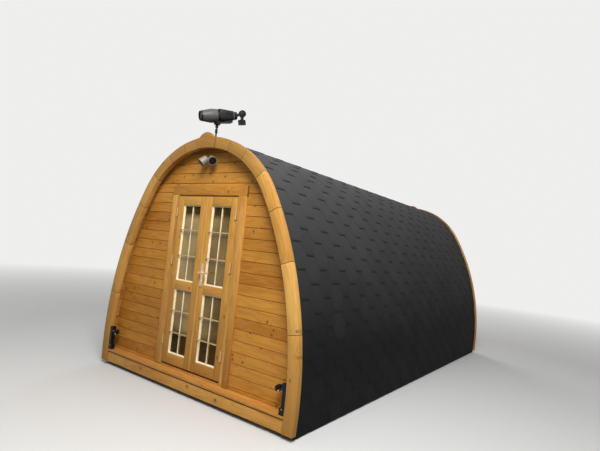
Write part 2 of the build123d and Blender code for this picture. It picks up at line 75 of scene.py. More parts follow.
# Node trees
def maths(operation, swapped=False):
    """Method that adds a Math node, with the wire as its first value, or as its last where they are swapped."""
    def add_node(wire, *others):
        values = (*others, wire) if swapped else (wire, *others)
        return wire.web.node("ShaderNodeMath", {"operation": operation}, *values)
    return add_node


class Wire:
    """A socket in a node tree. Sums written with it add Math nodes."""

    __add__ = __radd__ = maths("ADD")
    __sub__ = maths("SUBTRACT")
    __rsub__ = maths("SUBTRACT", swapped=True)
    __mul__ = __rmul__ = maths("MULTIPLY")
    __truediv__ = maths("DIVIDE")
    __rtruediv__ = maths("DIVIDE", swapped=True)
    __gt__ = maths("GREATER_THAN")
    __lt__ = maths("LESS_THAN")      # the reflected form of the one above
    sine = maths("SINE")
    cosine = maths("COSINE")
    floor = maths("FLOOR")
    ceiling = maths("CEIL")
    unsigned = maths("ABSOLUTE")
    remainder = maths("MODULO")
    least = maths("MINIMUM")
    most = maths("MAXIMUM")
    power = maths("POWER")

    def __init__(self, web, socket):
        self.web = web
        self.socket = socket

    def other(self, name):
        """Another output of the same node."""
        return Wire(self.web, self.socket.node.outputs[name])


class Web:
    """A node tree and one method that adds any node to it."""

    def __init__(self, tree):
        self.tree = tree

    def node(self, kind, settings=None, *values, output=0, **named):
        """Adds a node: its settings first, then its sockets in order, then those given by name."""
        made = self.tree.nodes.new(kind)
        for key, value in (settings or {}).items():
            setattr(made, key, value)
        for index, value in enumerate(values):
            self.feed(made.inputs[index], value)
        for key, value in named.items():
            wanted = key.replace("_", " ")
            self.feed(next(s for s in made.inputs if s.name.lower() == wanted and s.enabled), value)
        return Wire(self, made.outputs[output]) if len(made.outputs) else None

    def feed(self, socket, value):
        if isinstance(value, Wire):
            self.tree.links.new(value.socket, socket)
        elif value is not None:
            if isinstance(value, tuple) and socket.type == "RGBA" and len(value) == 3:
                value = (*value, 1.0)
            socket.default_value = value

    def split(self, vector):
        parts = self.node("ShaderNodeSeparateXYZ", None, vector)
        return [parts.other(axis) for axis in "XYZ"]

    def mix_shaders(self, factor, first, second):
        return self.node("ShaderNodeMixShader", None, factor, first, second)


class Finish(Web):
    """A material with one Principled shader."""

    def __init__(self, name, **fixed):
        self.material = bpy.data.materials.new(name)
        self.material.use_nodes = True
        super().__init__(self.material.node_tree)
        self.shader = Wire(self, self.tree.nodes["Principled BSDF"].outputs[0])
        for key, value in fixed.items():
            self.set(key.replace("_", " "), value)

    def set(self, key, value):
        self.feed(self.shader.socket.node.inputs[key], value)

    def show(self, shader):
        """Sends a shader to the material's output."""
        self.feed(self.tree.nodes["Material Output"].inputs["Surface"], shader)

    def object_point(self):
        return self.node("ShaderNodeTexCoord", output=3)

    def attribute(self, label, output=2):
        """Attribute of the piece: output 1 is its vector and output 2 its number."""
        return self.node("ShaderNodeAttribute", {"attribute_name": label}, output=output)

    def stretch(self, vector, scale):
        return self.node("ShaderNodeVectorMath", {"operation": "MULTIPLY"}, vector, scale)

    def noise(self, vector, scale=1.0, detail=2.0, roughness=0.5):
        return self.node("ShaderNodeTexNoise", vector=vector, scale=scale, detail=detail, roughness=roughness)

    def between(self, value, low, high, to_low=0.0, to_high=1.0):
        return self.node("ShaderNodeMapRange", {"clamp": True}, value, low, high, to_low, to_high)

    def blend(self, factor, first, second):
        return self.node("ShaderNodeMix", {"data_type": "RGBA"}, output=2, factor=factor, a=first, b=second)

    def bump(self, height, strength, distance):
        self.set("Normal", self.node("ShaderNodeBump", strength=strength, distance=distance, height=height))


class Growth(Web):
    """A Geometry Nodes tree with named inputs, one for each size, and one for points where it grows on them."""

    def __init__(self, name, sizes, on_points=False):
        super().__init__(bpy.data.node_groups.new(name, "GeometryNodeTree"))
        add = self.tree.interface.new_socket
        if on_points:
            add("Points", in_out="INPUT", socket_type="NodeSocketGeometry")
        for label, value in sizes.items():
            kind = "NodeSocketInt" if isinstance(value, int) else "NodeSocketFloat"
            add(label, in_out="INPUT", socket_type=kind)
        add("Geometry", in_out="OUTPUT", socket_type="NodeSocketGeometry")
        given = self.tree.nodes.new("NodeGroupInput")
        self.given = {socket.name: Wire(self, socket) for socket in given.outputs if socket.name}

    def store(self, mesh, label, value):
        return self.node("GeometryNodeStoreNamedAttribute", {"data_type": "FLOAT"}, mesh, None, label, value)

    def read(self, label, kind="FLOAT"):
        return self.node("GeometryNodeInputNamedAttribute", {"data_type": kind}, label)

    def finish(self, mesh, material):
        """Ends the tree: real instances, their material and the output."""
        solid = self.node("GeometryNodeRealizeInstances", None, mesh)
        self.node("NodeGroupOutput", None, self.node("GeometryNodeSetMaterial", None, solid, None, material))
        return self.tree


# Finishes
def srgb(red, green, blue):
    """Colour as measured on a screen, turned into linear light."""
    return tuple(c / 255 / 12.92 if c < 10 else ((c / 255 + 0.055) / 1.055) ** 2.4 for c in (red, green, blue))


def darker(colour, share):
    return tuple(c * share for c in colour)


def wood(name, light, dark, grain_from="piece", knots=0.62, red=0.0, low_darkening=0.0, cells=4.6):
    """Stained softwood, made darker towards the floor where asked. Its grain runs along the piece's own first axis
    or an axis of the object. Knots stand in the cells that draw more than the knots value, and cells is their number
    in a metre."""
    paint = Finish(name, Specular_IOR_Level=0.2)
    if grain_from == "piece":
        point, tone, stain_and_shade = paint.attribute("grain", 1), paint.attribute("tone"), paint.attribute("stain_and_shade")
    else:
        x, y, z = paint.split(paint.object_point())
        order = {"x": (x, y, z), "y": (y, x, z), "z": (z, x, y)}[grain_from]
        point = paint.node("ShaderNodeCombineXYZ", None, *order)
        tone = paint.noise(paint.stretch(point, (0.2, 3.0, 3.0)))
        stain_and_shade = None
    along, across, through = paint.split(point)
    flat = paint.node("ShaderNodeCombineXYZ", None, along, across, through * 0.25)
    cell = paint.node("ShaderNodeTexVoronoi", {"voronoi_dimensions": "2D"}, vector=flat, scale=cells)
    has_knot = paint.split(cell.other("Color"))[0] > knots
    wobble = paint.noise(paint.stretch(point, (9.0, 26.0, 26.0)), 1.0, 1.0) * 0.03
    from_knot = cell + wobble
    swirl = paint.between(from_knot, 0.02, 0.30, 1.0, 0.0) * has_knot
    broad = paint.noise(paint.stretch(point, (0.9, 7.5, 7.5)))
    rings = ((broad * 62.0 + across * 60.0 + swirl * 11.0).sine() * 0.5 + 0.5).power(1.6)
    fibre = paint.noise(paint.stretch(point, (7.0, 260.0, 260.0)), 1.0, 2.0, 0.6)
    patch = paint.noise(paint.stretch(point, (1.4, 5.0, 5.0)), 1.0, 3.0, 0.55)
    shade = rings * 0.22 + fibre * 0.26 + patch * 0.60 + tone * 0.36 - 0.28
    colour = paint.blend(paint.between(shade, 0.0, 1.0), light, dark)
    warm = tuple(a * b for a, b in zip(dark, (1.10, 0.84, 0.62)))
    colour = paint.blend(paint.between(patch, 0.50, 0.84) * 0.40 + red * tone, colour, warm)
    for inner, outer, strength, share in ((0.050, 0.120, 0.52, 0.44), (0.026, 0.060, 0.76, 0.26)):
        spot = paint.between(from_knot, inner, outer, strength, 0.0) * has_knot
        colour = paint.blend(spot, colour, darker(dark, share))
    if low_darkening:
        # darker towards the floor, fading out by 1.2 m up
        height = paint.split(paint.object_point())[2]
        colour = paint.blend(paint.between(height, 0.15, 1.20, low_darkening, 0.0), colour, darker(dark, 0.60))
    if stain_and_shade is not None:
        # darkens stained ends and joints, and paints shade into grooves, gaps and shaded pieces
        colour = paint.blend(stain_and_shade * 0.82, colour, darker(dark, 0.22))
    paint.set("Base Color", colour)
    paint.set("Roughness", paint.between(fibre, 0.25, 0.75, 0.40, 0.58))
    paint.bump(fibre * 0.5 + rings * 0.25 - swirl * 0.3, 0.35, 0.0012)
    return paint.material


def shingle_finish(name):
    """Bitumen shingle faced with dark mineral grit, with painted shadow along the tabs' lower edges, and painted
    lighter towards the top as light falling from above.
    """
    paint = Finish(name, Specular_IOR_Level=0.12)
    point = paint.object_point()
    grit = paint.node("ShaderNodeTexVoronoi", vector=point, scale=420.0)
    speck = paint.split(grit.other("Color"))[1]
    cloud = paint.noise(point, 1.3, 3.0, 0.6)
    # lighter towards the top: painted light from above
    dust_and_painted_light = paint.between(paint.split(point)[2], 0.6, 2.7)
    shade = speck * 0.22 + cloud * 0.22 + paint.attribute("tone") * 0.06 + dust_and_painted_light * 0.70 - 0.24
    colour = paint.blend(paint.between(shade, 0.0, 1.0), srgb(10, 10, 11), srgb(82, 82, 82))
    # tabs' lower edges painted nearly black: painted shadow under each tab
    colour = paint.blend(paint.attribute("rim").power(24.0) * 0.90, colour, srgb(8, 8, 9))
    paint.set("Base Color", colour)
    paint.set("Roughness", paint.between(speck, 0.0, 1.0, 0.74, 0.92))
    paint.bump(grit, 0.55, 0.0016)
    return paint.material


def metal(name, colour, rough):
    """Metal with fine brushed streaks and small stains."""
    paint = Finish(name, Metallic=1.0)
    point = paint.object_point()
    streak = paint.noise(paint.stretch(point, (40.0, 40.0, 900.0)))
    darkness = paint.noise(point, 34.0, 3.0, 0.6)
    paint.set("Base Color", paint.blend(paint.between(darkness, 0.45, 0.75) * 0.5, colour, darker(colour, 0.62)))
    paint.set("Roughness", paint.between(streak + darkness, 0.7, 1.3, rough - 0.06, rough + 0.06))
    paint.bump(streak, 0.12, 0.0004)
    return paint.material


def plastic(name, colour, rough, grain=0.10, specular=0.5):
    """Moulded or painted surface with a fine texture, scuffs and dust."""
    paint = Finish(name, Specular_IOR_Level=specular)
    point = paint.object_point()
    dust_and_painted_light = paint.noise(point, 22.0, 4.0, 0.65)
    pale = tuple(min(1.0, c * 1.5 + 0.012) for c in colour)
    paint.set("Base Color", paint.blend(paint.between(dust_and_painted_light, 0.48, 0.80) * 0.6, colour, pale))
    paint.set("Roughness", paint.between(dust_and_painted_light, 0.3, 0.7, rough - 0.05, rough + 0.10))
    paint.bump(paint.noise(point, 900.0), grain, 0.0005)
    return paint.material


def pane_finish(name):
    """Window glass: mostly clear, mirror-like at a slant, with a pale tan painted reflection that is thinner at the
    right.
    """
    paint = Finish(name, Roughness=0.02, IOR=1.5, Specular_IOR_Level=1.0)
    point = paint.object_point()
    reflection_patches = paint.noise(point, 2.3)
    x, y, z = paint.split(point)
    # painted reflection: a pale tan sheet, missing near the top and bottom of the lights and thinner at the right
    painted_reflection = paint.between(z, 1.93, 1.86) * paint.between(z, 0.56, 0.66) * paint.between(x, -0.1, 0.40, 1.0, 0.34)
    paint.set("Base Color", paint.blend(paint.between(reflection_patches, 0.35, 0.7), srgb(148, 122, 62), srgb(180, 150, 84)))
    clear = paint.node("ShaderNodeBsdfTransparent", None, (0.78, 0.70, 0.46))
    painted_reflection_share = painted_reflection * paint.between(reflection_patches, 0.32, 0.68, 0.42, 0.66) + 0.07
    paint.show(paint.mix_shaders(painted_reflection_share, clear, paint.shader))
    return paint.material


BOARD_WOOD = wood("wall_boards", srgb(205, 146, 62), srgb(142, 86, 20), knots=0.38, red=0.14)
TRIM_WOOD = wood("arch_trim", srgb(224, 173, 94), srgb(168, 115, 44), knots=0.60, red=0.10, low_darkening=0.60)
DOOR_WOOD = wood("door_joinery", srgb(208, 156, 76), srgb(156, 104, 38), knots=0.80, low_darkening=0.40)
STAVE_WOOD = wood("shell_staves", srgb(190, 142, 74), srgb(140, 92, 38))
DECK_WOOD = wood("deck_boards", srgb(210, 154, 78), srgb(154, 98, 36), knots=0.50, cells=3.8)
FASCIA_WOOD = wood("fascia_boards", srgb(214, 160, 82), srgb(156, 102, 38), knots=0.30, red=0.14, cells=3.1)
FRAME_WOOD = wood("floor_frame", srgb(190, 150, 100), srgb(130, 92, 50), grain_from="x")
SKID_WOOD = wood("skid_timber", srgb(150, 128, 90), srgb(96, 78, 48), grain_from="y")
JAMB_WOOD = wood("door_frame", srgb(206, 154, 80), srgb(156, 104, 42), grain_from="z", knots=0.9)
HEAD_WOOD = wood("door_head_frame", srgb(206, 154, 80), srgb(150, 98, 40), grain_from="x", knots=0.9)
BAR_WOOD = wood("glazing_bars", srgb(196, 172, 132), srgb(158, 134, 96), knots=0.99)
COVER_WOOD = wood("meeting_strip", srgb(218, 170, 96), srgb(176, 126, 60), knots=0.99)
CREAM_PAINT = plastic("cream_beads", srgb(230, 214, 180), 0.42)
SHINGLE = shingle_finish("shingles")
PANE = pane_finish("panes")
HINGE_METAL = metal("hinge_brass_plate", srgb(212, 174, 118), 0.42)
HANDLE_METAL = metal("handle_steel", srgb(224, 204, 170), 0.30)
SCREW_METAL = metal("screw_heads", srgb(140, 128, 108), 0.36)
BLACK_PLASTIC = plastic("black_fittings", srgb(13, 13, 14), 0.42, specular=0.20)
GREY_SLEEVE = plastic("grey_sleeve", srgb(64, 61, 58), 0.50)
# the twin lamp's off-white, painted darker as painted shade under the crown
SHADED_OFF_WHITE = plastic("off_white_lamp", srgb(132, 122, 110), 0.42)
DARK_LENS = plastic("dark_lens", srgb(17, 11, 8), 0.34, grain=0.0, specular=0.12)
# pale dome painted as a glint on the porch lamps' lenses
GLINT_PAINT = plastic("pale_lens", srgb(240, 238, 230), 0.16, grain=0.0)


# The arch outline
def arch_point(angle, inset, side=1):
    """(x, z) where the arch's normal is this many degrees from upright, this far inside the outline."""
    if angle <= JOIN_ANGLE:
        centre_x, centre_z, radius = 0.0, CROWN_CENTRE, CROWN_RADIUS - inset
    else:
        centre_x, centre_z, radius = SIDE_CENTRE, WIDEST_HEIGHT, SIDE_RADIUS - inset
    turn = radians(angle)
    return side * (centre_x + radius * sin(turn)), centre_z + radius * cos(turn)


def crown_point(turn, inset):
    """(x, z) at a turn from upright, which is to the right if it is positive."""
    return arch_point(abs(turn), inset, 1 if turn > 0 else -1)


def level_angle(height, inset):
    """Angle at which a side arc passes this height."""
    return 90 + degrees(asin((WIDEST_HEIGHT - height) / (SIDE_RADIUS - inset)))


def half_width_at(height, inset):
    """Half of the width inside the arch at this height, on either arc."""
    if height <= arch_point(JOIN_ANGLE, inset)[1]:
        return arch_point(level_angle(height, inset), inset)[0]
    return sqrt(max(0.0, (CROWN_RADIUS - inset) ** 2 - (height - CROWN_CENTRE) ** 2))


def joint_turn(gap, angle):
    """Angle that a gap takes up along the outline."""
    return degrees(gap / (CROWN_RADIUS if angle < JOIN_ANGLE else SIDE_RADIUS))


def arc_angle(distance, inset):
    """Angle reached at a distance along the arch from its crown, at an inset."""
    crown_run = radians(JOIN_ANGLE) * (CROWN_RADIUS - inset)
    if distance <= crown_run:
        return degrees(distance / (CROWN_RADIUS - inset))
    return JOIN_ANGLE + degrees((distance - crown_run) / (SIDE_RADIUS - inset))


def arc_length(angle, inset):
    """Distance along the arch from its crown to an angle, at an inset."""
    crown_run = radians(min(angle, JOIN_ANGLE)) * (CROWN_RADIUS - inset)
    return crown_run + radians(max(0.0, angle - JOIN_ANGLE)) * (SIDE_RADIUS - inset)


# Objects and meshes
def add_object(name, data):
    piece = bpy.data.objects.new(name, data)
    bpy.context.scene.collection.objects.link(piece)
    return piece


def put(piece, body, slot, *replaced):
    """Rides a piece on a body and hides the CAD nodes that it stands for. Its slot is not used."""
    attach(piece, body)
    if replaced:
        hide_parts(*replaced)


def coat(mesh, material):
    mesh.materials.clear()
    mesh.materials.append(material)


def face_outward(mesh):
    shape = bmesh.new()
    shape.from_mesh(mesh)
    bmesh.ops.recalc_face_normals(shape, faces=list(shape.faces))
    shape.to_mesh(mesh)
    shape.free()


def settle(piece):
    """Turns a piece with modifiers into a plain mesh."""
    graph = bpy.context.evaluated_depsgraph_get()
    mesh = bpy.data.meshes.new_from_object(piece.evaluated_get(graph))
    mesh.name = piece.name
    piece.modifiers.clear()
    piece.data = mesh


def grown(name, tree, sizes, mesh=None):
    """Object whose mesh is grown by a Geometry Nodes tree and then made plain."""
    piece = add_object(name, mesh or bpy.data.meshes.new(name))
    grow = piece.modifiers.new("grow", "NODES")
    grow.node_group = tree
    for socket in tree.interface.items_tree:
        if socket.in_out == "INPUT" and socket.name in sizes:
            grow[socket.identifier] = sizes[socket.name]
    settle(piece)
    return piece


AXES = {                     # a piece's own axes, by the way that its grain runs
    "x": ((1, 0, 0), (0, 0, 1), (0, 1, 0)),
    "y": ((0, 1, 0), (1, 0, 0), (0, 0, 1)),
    "z": ((0, 0, 1), (1, 0, 0), (0, 1, 0)),
}
GRAIN_SPAN = 40              # each piece starts its grain somewhere in this many metres
END_GRAIN = 0.75             # how dark a cut end is, against 1 for a joint
END_DEPTH = 0.0004
SHARP_CORNER = radians(38)


class Joinery:
    """Sawn pieces collected into one mesh. Each keeps its own grain direction, tone and darkening: stains on cut
    ends and joints, and painted shade in grooves and on shaded parts.
    """

    def __init__(self):
        self.points = []
        self.faces = []
        self.grain = []
        self.tone = []
        self.stain_and_shade = []

    def add(self, points, faces, axes, stain_and_shade=None, tone=None):
        start = len(self.points)
        shift = Vector([random.uniform(0, GRAIN_SPAN) for _ in range(3)])
        own_tone = random.random() if tone is None else tone
        axes = [Vector(axis) for axis in axes]
        for point in points:
            self.points.append(point)
            self.grain.append(Vector([point.dot(axis) for axis in axes]) + shift)
            self.tone.append(own_tone)
        self.stain_and_shade += stain_and_shade or [0.0] * len(points)
        self.faces += [[start + i for i in face] for face in faces]

    def take(self, shape, along, dark, tone=None):
        """Adds a finished shape, its ends along the grain darkened, and the rest dark by a share."""
        shape.verts.index_update()
        points = [v.co.copy() for v in shape.verts]
        faces = [[v.index for v in f.verts] for f in shape.faces]
        shape.free()
        reach = [point.dot(Vector(AXES[along][0])) for point in points]
        low, high = min(reach) + END_DEPTH, max(reach) - END_DEPTH
        self.add(points, faces, AXES[along], [dark if low < place < high else END_GRAIN for place in reach], tone)

    def plank(self, corner, opposite, along, rounding, dark=0.0):
        """Box between two corners with rounded edges."""
        low, high = (Vector([pick(pair) for pair in zip(corner, opposite)]) for pick in (min, max))
        size = high - low
        shape = bmesh.new()
        bmesh.ops.create_cube(shape, size=1.0)
        for vert in shape.verts:
            vert.co = low + Vector([size[i] * (vert.co[i] + 0.5) for i in range(3)])
        bmesh.ops.bevel(shape, geom=list(shape.edges), offset=min(rounding, min(size) * 0.45), segments=2,
                        profile=0.6, affect="EDGES")
        self.take(shape, along, dark)

    def slab(self, outline, front, back, rounding, tone, dark):
        """Outline in (x, z), given front to back depth, with rounded rims."""
        shape = bmesh.new()
        near, far = ([shape.verts.new((x, y, z)) for x, z in outline] for y in (front, back))
        shape.faces.new(near)
        shape.faces.new(far[::-1])
        for i in range(len(outline)):
            shape.faces.new((near[i], near[i - 1], far[i - 1], far[i]))
        bmesh.ops.recalc_face_normals(shape, faces=list(shape.faces))
        edges = [e for e in shape.edges if e.is_manifold and e.calc_face_angle() > radians(30)]
        bmesh.ops.bevel(shape, geom=edges, offset=rounding, segments=2, profile=0.6, affect="EDGES")
        self.take(shape, "x", dark, tone)

    def rings(self, rings, axes, stain_and_shade=None, closed=False):
        """Tube through rings of points, capped at both ends, or closed by going on to its first ring."""
        count = len(rings[0])
        total = count * len(rings)
        faces = [] if closed else [list(range(count))[::-1], list(range(total - count, total))]
        for ring in range(0, total if closed else total - count, count):
            after = (ring + count) % total
            for i in range(count):
                j = (i + 1) % count
                faces.append([ring + i, ring + j, after + j, after + i])
        self.add([point for ring in rings for point in ring], faces, axes, stain_and_shade)

    def make(self, name, material):
        mesh = bpy.data.meshes.new(name)
        mesh.from_pydata(self.points, [], self.faces)
        grain = mesh.attributes.new("grain", "FLOAT_VECTOR", "POINT")
        grain.data.foreach_set("vector", [c for g in self.grain for c in g])
        for label, values in (("tone", self.tone), ("stain_and_shade", self.stain_and_shade)):
            mesh.attributes.new(label, "FLOAT", "POINT").data.foreach_set("value", values)
        face_outward(mesh)
        coat(mesh, material)
        mesh.shade_smooth()
        mesh.set_sharp_from_angle(angle=SHARP_CORNER)
        return add_object(name, mesh)


# Arch trim: sawn pieces that follow the outline, with softened edges
TRIM_MIDDLE = TRIM_WIDTH / 2
TRIM_JOINT = 0.003
TRIM_JOINT_ANGLES = (18.7, 32.1, 48.6, 62.3, 70.6, 80.8)
TRIM_ROUND = 0.004
TRIM_EASE = 0.0002           # keeps the outer edge inside the CAD's facets
TRIM_STEP = 1.6              # degrees between the rings of a piece
END_SQUEEZE = 0.985          # how far a piece narrows at its sawn end
OUTER_EDGE_SHADE = 0.14           # painted shade on the outer edge, damping the light that it catches
END_STAIN = 0.30
PIECE_DARKNESS = {             # how dark each piece is painted, from the crown down; the extra darkness on the lower left leg is painted shade
    -1: (0.64, 0.60, 0.47, 0.22, 0.36, 0.20, 0.10),
    1: (0.64, 0.62, 0.46, 0.0, 0.0, 0.0, 0.0),
}


def trim_section(front, back):
    """Section of the trim as (inset, y) points with rounded corners."""
    corners = ((TRIM_EASE, front), (TRIM_WIDTH, front), (TRIM_WIDTH, back), (TRIM_EASE, back))
    section = []
    for index, (inset, y) in enumerate(corners):
        inward = 1 if inset == TRIM_EASE else -1
        deeper = 1 if y == min(front, back) else -1
        first = (inset, y + deeper * TRIM_ROUND)
        middle = (inset + inward * TRIM_ROUND * 0.3, y + deeper * TRIM_ROUND * 0.3)
        last = (inset + inward * TRIM_ROUND, y)
        section += [first, middle, last] if index % 2 == 0 else [last, middle, first]
    return section


def trim_piece(joinery, joint, next_joint, side, front, back, darkness):
    """Trim from one joint to the next, or to the foot, which is cut level, where there is no next one."""
    start = joint + joint_turn(TRIM_JOINT / 2, joint)
    if next_joint is None:
        end = level_angle(FOOT_HEIGHT, TRIM_MIDDLE)
    else:
        end = next_joint - joint_turn(TRIM_JOINT / 2, next_joint)
    steps = max(4, ceil((end - start) / TRIM_STEP))
    end_round = joint_turn(TRIM_ROUND * 0.8, start)
    stations = [(0.0, 0.0, END_SQUEEZE), (0.0, end_round, 1.0)]
    stations += [(i / steps, 0.0, 1.0) for i in range(1, steps)]
    stations += [(1.0, -end_round, 1.0), (1.0, 0.0, END_SQUEEZE)]
    section = trim_section(front, back)
    middle_y = (front + back) / 2
    rings = []
    for share, shift, squeeze in stations:
        ring = []
        for inset, y in section:
            inset = TRIM_MIDDLE + (inset - TRIM_MIDDLE) * squeeze
            last = level_angle(FOOT_HEIGHT, inset) if next_joint is None else end
            x, z = arch_point(start + (last - start) * share + shift, inset, side)
            ring.append(Vector((x, middle_y + (y - middle_y) * squeeze, z)))
        rings.append(ring)
    top, bottom = arch_point(start, TRIM_MIDDLE, side), arch_point(end, TRIM_MIDDLE, side)
    along = Vector((bottom[0] - top[0], 0, bottom[1] - top[1])).normalized()
    across = Vector((along.z, 0, -along.x))
    # the outer edge is painted darker: painted shade
    ring_darkness = [darkness + (OUTER_EDGE_SHADE if inset < TRIM_ROUND else 0.0) for inset, y in section]
    end_darkness = [max(END_GRAIN, min(1.0, darkness + END_STAIN))] * len(section)
    joinery.rings(rings, (along, across, (0, 1, 0)), end_darkness + ring_darkness * (len(rings) - 2) + end_darkness)


KEYSTONE_ANGLE = degrees(0.150 / CROWN_RADIUS)
KEYSTONE_RISE = 0.050
KEYSTONE_HEAD_ANGLE = degrees(0.110 / CROWN_RADIUS)
KEYSTONE_HEAD_DEPTH = 0.030
KEYSTONE_HEAD_INSETS = (0.002, 0.004)        # of its foot's corners and its foot's middle
KEYSTONE_GAP = 0.018         # the open joint at its right
# how much darker the keystone is painted, like the crown pieces
KEYSTONE_DARKNESS = 0.66


def keystone(node, outward):
    """Keystone over the crown: a block between the two halves, and a rounded head plate on its face."""
    low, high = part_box(node)
    face, rear = (low[1], high[1]) if outward < 0 else (high[1], low[1])
    left = joint_turn(TRIM_JOINT / 2, KEYSTONE_ANGLE) - KEYSTONE_ANGLE
    right = KEYSTONE_ANGLE - joint_turn(KEYSTONE_GAP, KEYSTONE_ANGLE)
    turns = [left + (right - left) * t / 8 for t in range(9)]
    outline = [crown_point(turn, 0) for turn in turns]
    outline += [crown_point(turn, TRIM_WIDTH) for turn in reversed(turns)]
    block = Joinery()
    block.slab(outline, face, rear, TRIM_ROUND, 0.30, KEYSTONE_DARKNESS)
    foot_x, foot_z = arch_point(KEYSTONE_HEAD_ANGLE, KEYSTONE_HEAD_INSETS[0])
    rise = CROWN_HEIGHT + KEYSTONE_RISE - foot_z
    radius = (foot_x ** 2 + rise ** 2) / (2 * rise)
    centre = CROWN_HEIGHT + KEYSTONE_RISE - radius
    sweep = asin(foot_x / radius)
    outline = [(radius * sin(sweep * t / 10), centre + radius * cos(sweep * t / 10)) for t in range(-10, 11)]
    outline += [crown_point(turn, KEYSTONE_HEAD_INSETS[1]) for turn in (4, 2, 0, -2, -4)]
    block.slab(outline, face, face - outward * KEYSTONE_HEAD_DEPTH, TRIM_ROUND, 0.35, KEYSTONE_DARKNESS)
    return block.make(f"{node}_block", TRIM_WOOD)


for end_name, outward in ENDS:
    for side, side_name in SIDES:
        trim = Joinery()
        # each piece takes its darkness from the table: darker at the crown, and painted shade down the left leg
        for joint, next_joint, darkness in zip((KEYSTONE_ANGLE, *TRIM_JOINT_ANGLES), (*TRIM_JOINT_ANGLES, None),
                                            PIECE_DARKNESS[side]):
            trim_piece(trim, joint, next_joint, side, -outward * ARCH_FRONT, -outward * ARCH_BACK, darkness)
        node = f"{end_name}_arch_{side_name}"
        put(trim.make(f"{node}_trim", TRIM_WOOD), "pod", "trim_timber", node)
    node = f"{end_name}_keystone"
    put(keystone(node, outward), "pod", "trim_timber", node)


# End walls of horizontal boards with a V joint between neighbours
BOARD_COVER = 0.1134
FIRST_JOINT = 0.2274
GROOVE_HALF = 0.0040
GROOVE_DEPTH = 0.0055
BOARD_JOG = 0.0008           # how far a board may stand back from the others
JOINT_SNAP = 0.02            # a joint this near the top of the doorway is moved to it
CROWN_TURN = 2.2             # height from which the arch turns in to its crown
WALL_INSET = SHELL_INNER + 0.0003
HEAD_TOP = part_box("door_head")[1][2]
ROUGH_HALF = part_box("door_head")[1][0]


def wall_board(joinery, low, high, front, back, left_stop=None, right_stop=None):
    """One board between two heights, from arch to arch or to a stop beside the doorway."""
    inward = 1 if back > front else -1
    levels = [(low, 1.0), (low + GROOVE_HALF, 0.0)]
    inner = 5 if high > CROWN_TURN else 2         # more points where the arch turns sharply
    span = high - low - 2 * GROOVE_HALF
    levels += [(low + GROOVE_HALF + span * i / inner, 0.0) for i in range(1, inner)]
    levels += [(high - GROOVE_HALF, 0.0), (high, 1.0)]
    jog = random.uniform(0.0, BOARD_JOG)
    section = [(z, front + inward * (GROOVE_DEPTH * groove + jog), groove) for z, groove in levels]
    section += [(z, back - inward * GROOVE_DEPTH * groove, groove) for z, groove in reversed(levels)]
    ends = [[Vector((side * half_width_at(z, WALL_INSET) if stop is None else stop, y, z))
             for z, y, groove in section] for side, stop in ((-1, left_stop), (1, right_stop))]
    # the groove faces are painted darker: painted shade in the V joints
    joinery.rings(ends, AXES["x"], [groove for z, y, groove in section] * 2)


def gable_joints():
    """Heights of the board joints from the floor to the crown."""
    heights = [FLOOR_TOP]
    z = FIRST_JOINT
    while z < CROWN_HEIGHT - WALL_INSET:
        if z > heights[-1]:
            heights.append(HEAD_TOP if abs(z - HEAD_TOP) < JOINT_SNAP else z)
        z += BOARD_COVER
    heights.append(CROWN_HEIGHT - WALL_INSET - CLEARANCE)
    return heights


heights = gable_joints()
front_boards = Joinery()
back_boards = Joinery()
for low, high in zip(heights, heights[1:]):
    if high <= HEAD_TOP:
        wall_board(front_boards, low, high, WALL_FACE, WALL_BACK, right_stop=-ROUGH_HALF)
        wall_board(front_boards, low, high, WALL_FACE, WALL_BACK, left_stop=ROUGH_HALF)
    else:
        wall_board(front_boards, low, high, WALL_FACE, WALL_BACK)
    wall_board(back_boards, low, high, -WALL_FACE, -WALL_BACK)
put(front_boards.make("front_wall_boards", BOARD_WOOD), "pod", "wall_timber",
    "front_wall_left", "front_wall_right", "front_wall_top")
put(back_boards.make("back_wall_boards", BOARD_WOOD), "pod", "wall_timber", "back_wall")


# Shell of lengthwise staves with V joints inside
STAVE_WIDTH = 0.112
STAVE_GROOVE = 0.005
SHELL_START, SHELL_END = ARCH_BACK, -ARCH_BACK

for side, side_name in SIDES:
    staves = Joinery()
    whole_run = arc_length(level_angle(SHELL_FOOT, SHELL_INNER), SHELL_INNER)
    count = round(whole_run / STAVE_WIDTH)
    for index in range(count):
        start, end = (arc_angle(whole_run * i / count, SHELL_INNER) for i in (index, index + 1))
        middle = (start + end) / 2
        turn = (end - start) * STAVE_GROOVE / STAVE_WIDTH
        grooved = SHELL_INNER - STAVE_GROOVE
        section = [(start, grooved, 1.0), (start + turn, SHELL_INNER, 0.0), (middle, SHELL_INNER, 0.0),
                   (end - turn, SHELL_INNER, 0.0), (end, grooved, 1.0),
                   (end, SHELL_OUTER, 0.0), (middle, SHELL_OUTER, 0.0), (start, SHELL_OUTER, 0.0)]
        ring = []
        for angle, inset, groove in section:
            if index == count - 1 and angle == end:
                angle = level_angle(SHELL_FOOT, inset)
            ring.append(arch_point(angle, inset, side))
        rings = [[Vector((x, y, z)) for x, z in ring] for y in (SHELL_START, SHELL_END)]
        lean = radians(middle)
        # the groove faces are painted darker: painted shade in the V joints
        staves.rings(rings, ((0, 1, 0), (side * cos(lean), 0, -sin(lean)), (sin(lean), 0, cos(lean))),
                     [groove for angle, inset, groove in section] * 2)
    put(staves.make(f"shell_staves_{side_name}", STAVE_WOOD), "pod", "shell_timber",
        *[f"shell_{part}_{side_name}" for part in ("crown", "upper", "lower")])


